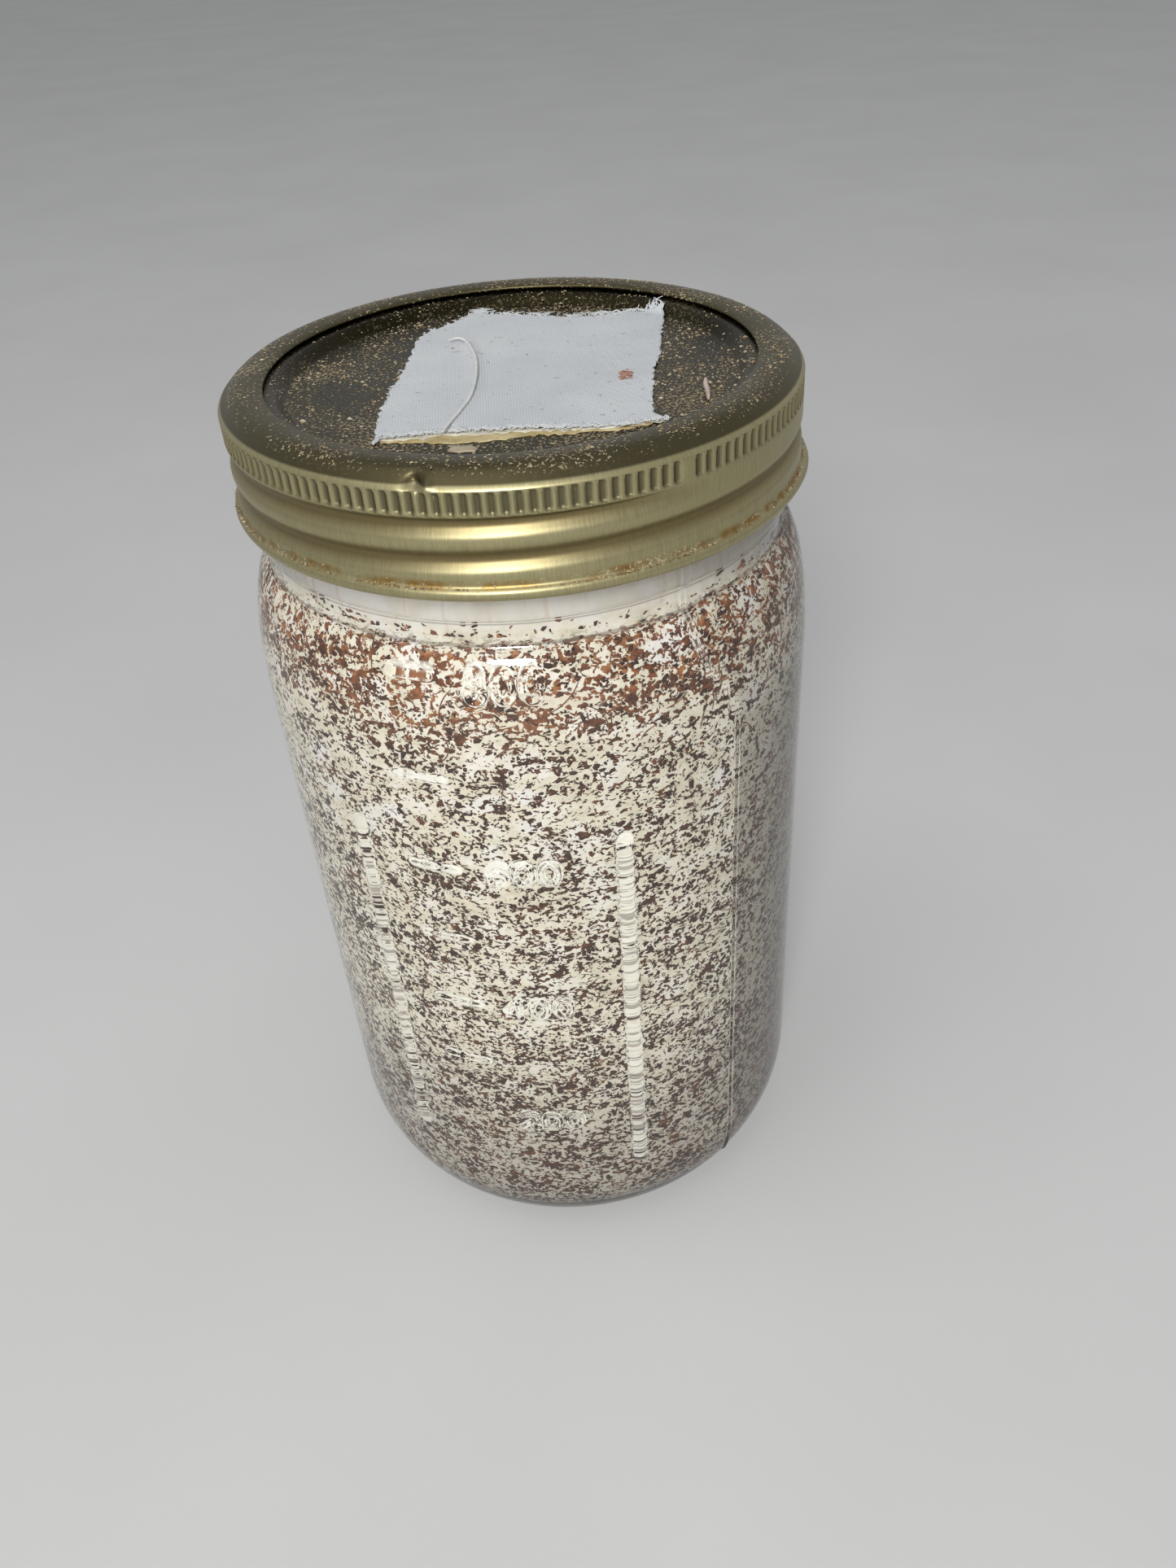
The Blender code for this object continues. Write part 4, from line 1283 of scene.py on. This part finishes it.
def knurl_share(azimuth, height):
    """1 in the middle of each pocket and 0 on the ridges, with rounded pocket ends."""
    lap = np.abs(turn_away(azimuth, KNURL_GAP_AZIMUTH)) < KNURL_PITCH / 2
    place = ((azimuth - KNURL_GAP_AZIMUTH) / KNURL_PITCH + 0.5) % 1.0 - 0.5
    across = np.abs(place) / POCKET_HALF
    middle = (KNURL_TOP + KNURL_BOTTOM) / 2
    up = np.maximum(np.abs(height - middle) - POCKET_STRAIGHT, 0.0) / POCKET_ROUND
    reach = np.hypot(across, up)
    return np.where(lap, 0.0, 1.0 - smooth_share(0.62, 1.05, reach))


band_points = band_section()
print("points in the band section:", len(band_points))

# %% Band material
def add_round_map(mesh):
    """A UV map with metres round the band in U and height in V, for brushing that follows the metal."""
    layer = mesh.uv_layers.new(name="round")
    points = points_of(mesh)
    corners = read_values(mesh.loops, "vertex_index")
    angle = np.arctan2(points[:, 1], points[:, 0])[corners]
    starts = read_values(mesh.polygons, "loop_start")
    totals = read_values(mesh.polygons, "loop_total")
    largest = np.maximum.reduceat(angle, starts)
    spread = largest - np.minimum.reduceat(angle, starts)
    wraps = np.repeat(spread > math.pi, totals)
    angle = np.where(wraps & (angle < 0), angle + math.tau, angle)
    uv = np.column_stack([angle * BAND_RADIUS, points[:, 2][corners]])
    layer.data.foreach_set("uv", uv.reshape(-1))


def band_material():
    material = new_material("gold_tinplate", (0.62, 0.55, 0.36), 0.3, 1.0)
    place = object_place(material)
    z = object_height(material)
    unrolled = add_node(material, "UVMap", uv_map="round").outputs["UV"]
    brushed = add_node(material, "Mapping", {"Vector": unrolled, "Scale": (1.0, 0.06, 1.0)}).outputs["Vector"]
    streaks = grainy(material, brushed, 5200.0, 2.0, 0.6)
    lacquer = ramp(material, streaks, [(0.3, (0.335, 0.30, 0.16)), (0.7, (0.43, 0.385, 0.22))])
    # Painted shade in the hollows: the rolled groove is painted darker with an amber tarnish tint, and the
    # knurl pockets darker than their ridges.
    lacquer = over(material, lacquer, (0.145, 0.10, 0.036), attribute_share(material, "groove"), 0.75)
    lacquer = over(material, lacquer, (0.09, 0.08, 0.045), attribute_share(material, "pocket"), 0.8)
    from_hem = between(material, z, HEM_TOP - 0.6 * MM, HEM_TOP + 0.1 * MM)
    to_wall = between(material, z, HEM_TOP + 1.3 * MM, HEM_TOP + 0.5 * MM)
    above_hem = times(material, from_hem, to_wall)
    patches = between(material, grainy(material, place, 260.0), 0.35, 0.6)
    stained = over(material, lacquer, (0.30, 0.19, 0.06), above_hem, patches)
    on_crown = between(material, z, BAND_TOP - 2.05 * MM, BAND_TOP - 1.7 * MM)
    crest = between(material, z, BAND_TOP - 1.3 * MM, BAND_TOP - 0.5 * MM)
    # Painted dark reflection: the crown is painted nearly black-brown, for the dark surroundings it would
    # mirror.
    dark_crown_lacquer = over(material, stained, (0.062, 0.051, 0.025), on_crown, 0.9)
    ledges = arithmetic(material, "MAXIMUM", crest, above_hem)
    settled = arithmetic(material, "MULTIPLY_ADD", ledges, 0.9, 0.05)
    dust = times(material, dust_mask(material, place, 0.0), settled)
    feed(material, mix(material, dust, dark_crown_lacquer, (0.42, 0.34, 0.21)), "Base Color")
    rough = arithmetic(material, "MULTIPLY_ADD", streaks, 0.10, 0.36)
    feed(material, arithmetic(material, "MULTIPLY_ADD", dust, 0.4, rough, clamp=True), "Roughness")
    feed(material, arithmetic(material, "SUBTRACT", 1.0, dust, clamp=True), "Metallic")
    height = arithmetic(material, "MULTIPLY_ADD", streaks, 0.10, dust)
    set_bump(material, height, 0.1 * MM, 0.5)
    return material


# %% Build the band
COLUMNS_PER_KNURL = 6
DENT_AZIMUTH = -108.5
HEM_FLARE_AZIMUTH = -8.0
HEM_FLARE = 0.7 * MM


def pinch_and_flare(radius, azimuth, height):
    """The damage: a pinch in the band's shoulder, and a hem that stands out a little on one side."""
    away = turn_away(azimuth, DENT_AZIMUTH)
    shoulder = np.exp(-(((height - BAND_TOP + 1.75 * MM) / (0.75 * MM)) ** 2)) * (radius > CREST_RADIUS)
    pinch = -1.25 * np.exp(-((away / 1.5) ** 2)) + 0.55 * np.exp(-(((away - 2.5) / 1.0) ** 2))
    low = 1.0 - smooth_share(BAND_BOTTOM, HEM_TOP + 0.8 * MM, height)
    flare = np.exp(-((turn_away(azimuth, HEM_FLARE_AZIMUTH) / 16.0) ** 2))
    return MM * shoulder * pinch + HEM_FLARE * low * flare


def build_band():
    start = KNURL_GAP_AZIMUTH + KNURL_PITCH / 2
    turn = (start, start + 360.0, KNURL_COUNT * COLUMNS_PER_KNURL)
    mesh = mesh_from("gold_band", spin_sectors(band_points, [turn]))
    points = points_of(mesh)
    radius, azimuth, height = polar(points)
    outside = radius > BAND_RADIUS - 0.02 * MM
    groove = groove_share(azimuth, height)
    pocket = np.where(outside, knurl_share(azimuth, height), 0.0)
    put_share(mesh, "groove", groove)
    put_share(mesh, "pocket", pocket)
    rolled = -GROOVE_DEPTH * groove - KNURL_DEPTH * pocket
    push_out(points, rolled + pinch_and_flare(radius, azimuth, height))
    put_points(mesh, points)
    add_round_map(mesh)
    adopt_mesh("gold_band", mesh, band_material(), "screw_band")


build_band()

# %% [markdown]
# ## Tape
# A torn piece of white cloth tape is stuck on the lid. It is thin and soft, so it follows the sunk panel,
# climbs the slope at one corner, and has one raised crease. Its cut edge is torn and its far edge is
# frayed. The outline is a filled flat curve. A fine slab is cut to it with a Boolean, and then draped on
# the lid by height.

# %% Plates that drape on the lid
TAPE_THICKNESS = 0.25 * MM
TAPE_LIFT = 0.12 * MM
TAPE_CELL = 0.6 * MM
TEAR_STEP_MM = 0.7
SAME_CORNER = 0.0000001
PLATE_MARGIN_MM = 2.0
CREASE_HEIGHT = 0.45 * MM
CREASE_HALF_MM = 0.9
TAPE_OUTLINE_MM = (
    (-20.3, -25.1), (-19.1, -22.3), (-9.9, -22.3), (0.5, -23.2), (11.9, -25.4), (21.5, -24.7),
    (19.6, -22.4), (20.1, -16.6), (21.9, -3.4), (23.3, 0.8), (24.6, 8.6), (26.6, 20.5), (27.3, 24.1),
    (25.1, 25.2), (20.8, 25.8), (16.5, 25.1), (10.9, 25.7), (2.5, 29.0), (-3.2, 31.1), (-4.3, 33.6),
    (-6.8, 30.7), (-11.0, 25.8), (-14.5, 22.6), (-15.5, 19.4), (-16.7, 7.3), (-18.8, -3.5), (-19.7, -10.3),
    (-20.2, -18.4),
)
CREASE_MM = [
    (-7.1, 14.8), (-6.1, 10.2), (-5.5, 4.6), (-5.6, -3.0), (-6.4, -10.8), (-7.9, -16.4), (-9.3, -20.6),
]


def torn_outline(outline, jitter, seed):
    """The outline with small uneven steps between its points, as a torn edge has."""
    random = np.random.default_rng(seed)
    torn = []
    for (x0, y0), (x1, y1) in zip(outline, outline[1:] + outline[:1]):
        length = math.hypot(x1 - x0, y1 - y0)
        count = max(1, round(length / TEAR_STEP_MM))
        for step in range(count):
            share = step / count
            off = random.normal(0.0, jitter) if step else 0.0
            x = x0 + (x1 - x0) * share - off * (y1 - y0) / length
            y = y0 + (y1 - y0) * share + off * (x1 - x0) / length
            torn.append((x, y))
    return torn


def flat_plate(name, outline_mm, half_thickness):
    """A flat filled curve made into a mesh, in metres, centred on z = 0."""
    curve = bpy.data.curves.new(name, "CURVE")
    curve.dimensions = "2D"
    curve.fill_mode = "BOTH"
    curve.extrude = half_thickness
    spline = curve.splines.new("POLY")
    spline.points.add(len(outline_mm) - 1)
    for point, (x, y) in zip(spline.points, outline_mm):
        point.co = (x * MM, y * MM, 0.0, 1.0)
    spline.use_cyclic_u = True
    mesh = evaluated_mesh(name, link_object(name, curve))
    bm = bmesh.new()
    bm.from_mesh(mesh)
    bmesh.ops.remove_doubles(bm, verts=bm.verts, dist=SAME_CORNER)
    bmesh.ops.recalc_face_normals(bm, faces=bm.faces)
    bm.to_mesh(mesh)
    bm.free()
    return mesh


def gridded_plate(name, outline_mm, thickness, cell):
    """A plate of that outline whose faces are a fine grid, so that it can be draped."""
    cutter = link_object(name + "_outline", flat_plate(name + "_outline", outline_mm, 2 * MM))
    xs, ys = zip(*outline_mm)
    middle = Vector(((min(xs) + max(xs)) / 2, (min(ys) + max(ys)) / 2, 0.0)) * MM
    wide = (max(xs) - min(xs) + PLATE_MARGIN_MM) * MM
    tall = (max(ys) - min(ys) + PLATE_MARGIN_MM) * MM
    columns, rows = round(wide / cell), round(tall / cell)
    size = Matrix.Translation(middle) @ Matrix.Diagonal((wide / 2, tall / 2, 1.0, 1.0))
    bm = bmesh.new()
    bmesh.ops.create_grid(bm, x_segments=columns, y_segments=rows, size=1.0, matrix=size)
    bmesh.ops.solidify(bm, geom=bm.faces[:], thickness=thickness)
    bmesh.ops.recalc_face_normals(bm, faces=bm.faces)
    slab = link_object(name + "_slab", mesh_from(name + "_slab", bm))
    cut = slab.modifiers.new("Tear", "BOOLEAN")
    cut.operation = "INTERSECT"
    cut.solver = "EXACT"
    cut.object = cutter
    mesh = evaluated_mesh(name, slab)
    bpy.data.objects.remove(cutter, do_unlink=True)
    points = points_of(mesh)
    points[:, 2] -= points[:, 2].min()
    put_points(mesh, points)
    return mesh


def drape_on_lid(mesh, lift, waves=0.0, crease=None):
    """Lays the plate on the lid, with soft waves and a crease."""
    points = points_of(mesh)
    radius = np.hypot(points[:, 0], points[:, 1])
    wave = noise_at(points * (1.0, 1.0, 0.0), 120.0)
    points[:, 2] += lid_height(radius) + lift + waves * (1.0 + wave)
    if crease:
        gap = distance_to_stroke(points[:, 0] / MM, points[:, 1] / MM, crease)
        points[:, 2] += CREASE_HEIGHT * np.exp(-((gap / CREASE_HALF_MM) ** 2))
    put_points(mesh, points)


# %% Build the tape
def tape_material():
    material = new_material("white_tape", (0.78, 0.81, 0.86), 0.85)
    place = object_place(material)
    threads = {"Vector": place, "Scale": 760.0, "Distortion": 1.5}
    weave_x, weave_y = (add_node(material, "TexWave", threads, bands_direction=axis) for axis in "XY")
    weave = times(material, weave_x.outputs["Fac"], weave_y.outputs["Fac"])
    cloud = grainy(material, place, 70.0, 3.0)
    tint = ramp(material, cloud, [(0.3, (0.60, 0.63, 0.65)), (0.7, (0.70, 0.72, 0.73))])
    tint = over(material, tint, (0.45, 0.48, 0.52), weave, 0.10)
    dots = between(material, grainy(material, place, 900.0, 1.0), 0.70, 0.74)
    tint = over(material, tint, (0.32, 0.30, 0.28), dots, 0.55)
    feed(material, tint, "Base Color")
    height = arithmetic(material, "ADD", weave, grainy(material, place, 400.0, 3.0))
    set_bump(material, height, 0.12 * MM, 0.6)
    return material


def outline_area(outline_mm):
    pairs = zip(outline_mm, outline_mm[1:] + outline_mm[:1])
    return abs(sum(x0 * y1 - x1 * y0 for (x0, y0), (x1, y1) in pairs)) / 2 * MM * MM


def build_tape():
    outline = torn_outline(TAPE_OUTLINE_MM, 0.18, 5)
    mesh = gridded_plate("torn_tape", outline, TAPE_THICKNESS, TAPE_CELL)
    drape_on_lid(mesh, TAPE_LIFT, 0.12 * MM, CREASE_MM)
    tape = adopt_mesh("torn_tape", mesh, tape_material(), "tape_patch")
    outline_area(outline)


build_tape()

# %% [markdown]
# ## Threads, adhesive and dust
# The tape was torn off its roll, so threads stick out of its far edge and one lies across it, over the
# crease. The tape's backing ends in a ragged cream lip, and below that the adhesive is left as a yellowish
# strip. Tan dust and crumbs lie on the lid, on the crest of the band and on its hem. Threads are bevelled
# curves made into mesh, and dust is small chips.

# %% Threads
FAR_EDGE_MM = TAPE_OUTLINE_MM[20:11:-1]
FAR_TUFT_MM = [(-5.2, 32.6), (-3.4, 32.4)]
LEFT_EDGE_MM = [TAPE_OUTLINE_MM[index] for index in (27, 25, 24, 22, 21, 20)]
NEAR_EDGE_MM = TAPE_OUTLINE_MM[1:6]
LONG_THREAD_MM = [(-9.9, 16.0), (-8.4, 16.8)] + CREASE_MM[:-1] + [(-9.5, -21.3), (-10.4, -24.4)]
SLIVER_MM = [(28.9, -10.4), (28.5, -12.9), (28.4, -15.6), (28.0, -18.7)]
TAPE_TOP = PANEL_TOP + TAPE_LIFT + TAPE_THICKNESS


def curve_value(before, start, end, after, t):
    """One coordinate of a Catmull-Rom curve, a share t of the way from start to end."""
    bend = 2 * before - 5 * start + 4 * end - after
    twist = 3 * start - before - 3 * end + after
    return 0.5 * (2 * start + (end - before) * t + bend * t * t + twist * t**3)


def smooth_path(points, per_step=6):
    """A Catmull-Rom curve through the points."""
    padded = [points[0]] + list(points) + [points[-1]]
    path = []
    for before, start, end, after in zip(padded, padded[1:], padded[2:], padded[3:]):
        for step in range(per_step):
            sides = zip(before, start, end, after)
            path.append(tuple(curve_value(*side, step / per_step) for side in sides))
    return path + [tuple(points[-1])]


def frayed_strands(edge, count, outward, random, longest):
    """Short curled threads that start on the tape near its edge and stick out past it."""
    strands = []
    for _ in range(count):
        spot = random.uniform(0.0, len(edge) - 1.001)
        part = int(spot)
        share = spot - part
        x = edge[part][0] * (1 - share) + edge[part + 1][0] * share
        y = edge[part][1] * (1 - share) + edge[part + 1][1] * share
        length = random.uniform(0.35, 1.0) * longest
        lean = random.normal(0.0, 0.6)
        curl = random.normal(0.0, 0.8)
        strand = []
        for step in range(5):
            reach = length * (step / 4 - 0.35)
            along = lean * reach + curl * reach * reach / length
            px, py = (x + along) * MM, (y + outward * reach) * MM
            lift = TAPE_LIFT + TAPE_THICKNESS + 0.14 * MM + random.uniform(0.0, 0.14) * MM
            strand.append((px, py, float(lid_height(np.hypot(px, py))) + lift))
        strands.append(strand)
    return strands


def build_threads():
    random = np.random.default_rng(31)
    strands = frayed_strands(FAR_EDGE_MM, 130, 1.0, random, 2.4)
    strands += frayed_strands(LEFT_EDGE_MM, 26, 1.0, random, 1.0)
    strands += frayed_strands(FAR_TUFT_MM, 14, 1.0, random, 3.4)
    strands += frayed_strands(NEAR_EDGE_MM, 260, -1.0, random, 2.2)
    mesh = strand_mesh("frayed_threads", strands, 0.10 * MM)
    material = thread_material("white_thread", (0.62, 0.64, 0.66), (0.74, 0.75, 0.74))
    adopt_mesh("frayed_threads", mesh, material)


def build_long_thread():
    path = smooth_path([(x * MM, y * MM, TAPE_TOP + 0.75 * MM) for x, y in LONG_THREAD_MM])
    mesh = strand_mesh("long_thread", [path], 0.29 * MM)
    material = thread_material("grey_thread", (0.68, 0.69, 0.67), (0.82, 0.82, 0.79))
    adopt_mesh("long_thread", mesh, material)


def build_sliver():
    """A pale pinkish sliver of bran skin on the lid, to the right of the tape."""
    path = smooth_path([(x * MM, y * MM, PANEL_TOP + 0.42 * MM) for x, y in SLIVER_MM], 4)
    mesh = strand_mesh("pale_sliver", [path], 0.40 * MM)
    material = thread_material("bran_skin", (0.50, 0.38, 0.33), (0.72, 0.60, 0.55))
    adopt_mesh("pale_sliver", mesh, material)


build_threads()
build_long_thread()
build_sliver()

# %% Adhesive left on the lid
ADHESIVE_THICKNESS = 0.07 * MM
ADHESIVE_CELL = 1.0 * MM
ADHESIVE_MM = [
    (-19.6, -23.6), (-18.6, -21.6), (0.5, -22.2), (12.0, -24.4), (19.5, -23.8), (18.9, -25.6),
    (14.0, -27.1), (10.4, -26.3), (7.2, -26.9), (3.6, -26.0), (0.4, -26.2), (-4.0, -26.8), (-9.9, -26.4),
    (-15.0, -24.9),
]
RESIDUE_MM = [(-9.9, -27.1), (-6.4, -27.2), (-5.5, -28.6), (-6.1, -30.2), (-8.2, -30.0), (-9.8, -29.3)]
LIP_MM = [
    (-19.0, -21.6), (-9.9, -21.6), (0.5, -22.5), (11.9, -24.7), (21.0, -24.0), (21.2, -25.3), (17.0, -25.6),
    (11.9, -26.2), (6.0, -25.3), (0.5, -24.5), (-5.0, -24.3), (-9.9, -23.5), (-14.0, -23.8), (-19.4, -23.4),
]


def build_adhesive(name, outline, first, second, jitter=0.22, lift=0.02 * MM):
    mesh = gridded_plate(name, torn_outline(outline, jitter, 17), ADHESIVE_THICKNESS, ADHESIVE_CELL)
    drape_on_lid(mesh, lift)
    material = new_material(name, first, 0.5)
    mottle = grainy(material, object_place(material), 420.0, 3.0)
    tint_by(material, mottle, [(0.35, first), (0.65, second)])
    set_bump(material, mottle, 0.1 * MM, 0.6)
    adopt_mesh(name, mesh, material)


build_adhesive("adhesive_strip", ADHESIVE_MM, (0.42, 0.31, 0.12), (0.66, 0.55, 0.30))
build_adhesive("torn_lip", LIP_MM, (0.64, 0.60, 0.46), (0.78, 0.76, 0.68), 0.30, 0.11 * MM)
build_adhesive("residue_patch", RESIDUE_MM, (0.34, 0.28, 0.18), (0.50, 0.43, 0.30))

# %% Chips of dust and where they lie
LID_DUST_TRIES = 8600
CREST_DUST_COUNT = 1300
HEM_DUST_COUNT = 700


def dust_material():
    material = new_material("bran_dust", (0.4, 0.3, 0.2), 0.85)
    tans = [
        (0.0, (0.10, 0.06, 0.03)),
        (0.4, (0.33, 0.24, 0.135)),
        (0.75, (0.52, 0.42, 0.27)),
        (1.0, (0.72, 0.65, 0.49)),
    ]
    colour = ramp(material, attribute_share(material, "tone"), tans)
    shade = ramp(material, grainy(material, object_place(material), 1500.0), [(0.3, 0.6), (0.7, 1.0)])
    feed(material, mix(material, 0.6, colour, shade, "MULTIPLY"), "Base Color")
    return material


def lie_chips(name, flat, height, length, thickness, tones, random, material):
    """Chips that lie on level or gently sloping metal at (x, y) places in metres."""
    count = len(flat)
    turn = random.uniform(0.0, math.tau, count)
    along = np.column_stack([np.cos(turn), np.sin(turn), np.zeros(count)])
    up = np.tile((0.0, 0.0, 1.0), (count, 1))
    width = length * random.uniform(0.4, 0.95, count)
    bend = random.uniform(-0.3, 0.3, count)
    bottom = 0.02 * MM
    centres = np.column_stack([flat, height + bottom])
    mesh = join_chips(name, centres, up, along, length, width, bend, thickness, bottom, tones, random)
    adopt_mesh(name, mesh, material, smooth=False)


def lie_dust(name, flat, height, sizes, tone, thickness, random, material):
    """Dust chips: sizes as chip_lengths takes them, tone as middle and spread, thickness as a share."""
    length = chip_lengths(random, len(flat), *sizes)
    tones = np.clip(random.normal(*tone, len(flat)), 0.0, 1.0)
    lie_chips(name, flat, height, length, length * thickness, tones, random, material)


def inside_outline(x, y, outline_mm):
    """True where a point, in millimetres, lies inside the outline."""
    inside = np.zeros(len(x), bool)
    for (x0, y0), (x1, y1) in zip(outline_mm, outline_mm[1:] + outline_mm[:1]):
        crosses = (y0 > y) != (y1 > y)
        with np.errstate(divide="ignore", invalid="ignore"):
            reach = (x1 - x0) * (y - y0) / (y1 - y0) + x0
        inside ^= crosses & (x < reach)
    return inside


def dust_on_lid(random, tried):
    """Places on the lid as (x, y), in loose patches, none on the tape and few in front of it."""
    radius = 37.6 * MM * np.sqrt(random.uniform(0.0, 1.0, tried))
    turn = random.uniform(-math.pi, math.pi, tried)
    x, y = radius * np.cos(turn), radius * np.sin(turn)
    patch = noise_at(np.column_stack([x, y, np.zeros(tried)]), 90.0)
    kept = random.uniform(0.0, 1.0, tried) < np.clip(0.42 + 1.2 * patch, 0.05, 1.0)
    kept &= ~inside_outline(x / MM, y / MM, TAPE_OUTLINE_MM)
    kept &= (y > -24.0 * MM) | (np.abs(x) > 20.0 * MM) | (random.uniform(0.0, 1.0, tried) < 0.4)
    return np.column_stack([x[kept], y[kept]])


def crown_height(radius):
    """Height of the band's upper side at each radius, read from its half section."""
    radii, heights = zip(*band_points[2:13])
    return np.interp(radius, radii, heights)


def dust_on_ring(random, count, middle, spread, patch_scale):
    """Places round the band as (x, y), close to the middle radius."""
    tried = count * 3
    turn = random.uniform(-math.pi, math.pi, tried)
    radius = random.normal(middle, spread, tried)
    flat = np.column_stack([radius * np.cos(turn), radius * np.sin(turn)])
    patch = noise_at(np.column_stack([flat, np.zeros(tried)]), patch_scale)
    return flat[random.uniform(0.0, 1.0, tried) < np.clip(0.3 + patch, 0.05, 1.0)][:count]


# %% Lay the dust, the crumbs and the spots
SPOT_CLUSTER_COUNT = 34
SPOT_THICKNESS = 0.10 * MM
CRUMB_TONE = 0.85
CRUMBS_MM = [
    (-31.4, -12.7, 0.62), (-24.4, -13.4, 0.55), (34.9, 8.1, 0.35), (34.6, 2.5, 0.3), (33.5, -13.5, 0.5),
    (21.9, -9.1, 0.4), (21.4, -15.9, 0.5), (-27.0, -15.5, 0.3), (-22.6, 4.0, 0.25), (24.0, -6.4, 0.45),
]
SPOT_CLUSTER_MM = (17.4, -5.9)
SPOTS_MM = [
    (2.7, 7.1, 0.34), (-9.4, 13.6, 0.25), (9.6, 12.0, 0.16), (-1.0, -10.0, 0.15), (12.6, -14.0, 0.14),
    (6.0, 18.0, 0.14),
]


def build_spots(random):
    """Reddish spots on the tape: one cluster by its right edge, and a few scattered ones."""
    middle_x, middle_y = SPOT_CLUSTER_MM
    cluster = [
        (middle_x + random.normal(0.0, 0.6), middle_y + random.normal(0.0, 1.3), random.uniform(0.22, 0.55))
        for _ in range(SPOT_CLUSTER_COUNT)
    ]
    spots = np.array(cluster + SPOTS_MM)
    count = len(spots)
    flat = spots[:, :2] * MM
    height = np.full(count, TAPE_TOP + 0.18 * MM)
    thickness = np.full(count, SPOT_THICKNESS)
    material = new_material("rust_spots", (0.36, 0.16, 0.10), 0.85)
    pattern = grainy(material, object_place(material), 900.0)
    tint_by(material, pattern, [(0.3, (0.26, 0.10, 0.06)), (0.7, (0.50, 0.26, 0.18))])
    lie_chips("tape_spots", flat, height, spots[:, 2] * MM, thickness, np.zeros(count), random, material)


def build_dust():
    random = np.random.default_rng(47)
    material = dust_material()
    flat = dust_on_lid(random, LID_DUST_TRIES)
    height = lid_height(np.hypot(*flat.T))
    lie_dust("lid_dust", flat, height, (-1.8, 0.42, 0.5), (0.6, 0.18), 0.6, random, material)

    flat = dust_on_ring(random, CREST_DUST_COUNT, CREST_RADIUS + 0.1 * MM, 1.1 * MM, 70.0)
    radius = np.hypot(*flat.T)
    flat = flat[(radius > BAND_OPENING + 0.5 * MM) & (radius < BAND_RADIUS - 1.0 * MM)]
    height = crown_height(np.hypot(*flat.T))
    lie_dust("crest_dust", flat, height, (-1.95, 0.4, 0.4), (0.58, 0.18), 0.5, random, material)

    flat = dust_on_ring(random, HEM_DUST_COUNT, HEM_RADIUS - 0.28 * MM, 0.10 * MM, 110.0)
    height = np.full(len(flat), HEM_TOP - 0.02 * MM)
    lie_dust("hem_dust", flat, height, (-1.9, 0.4, 0.35), (0.5, 0.2), 0.6, random, material)

    crumbs = np.array(CRUMBS_MM)
    flat = crumbs[:, :2] * MM
    height = lid_height(np.hypot(*flat.T))
    length = crumbs[:, 2] * MM
    tones = np.full(len(crumbs), CRUMB_TONE)
    lie_chips("lid_crumbs", flat, height, length, length * 0.6, tones, random, material)

    build_spots(random)


build_dust()
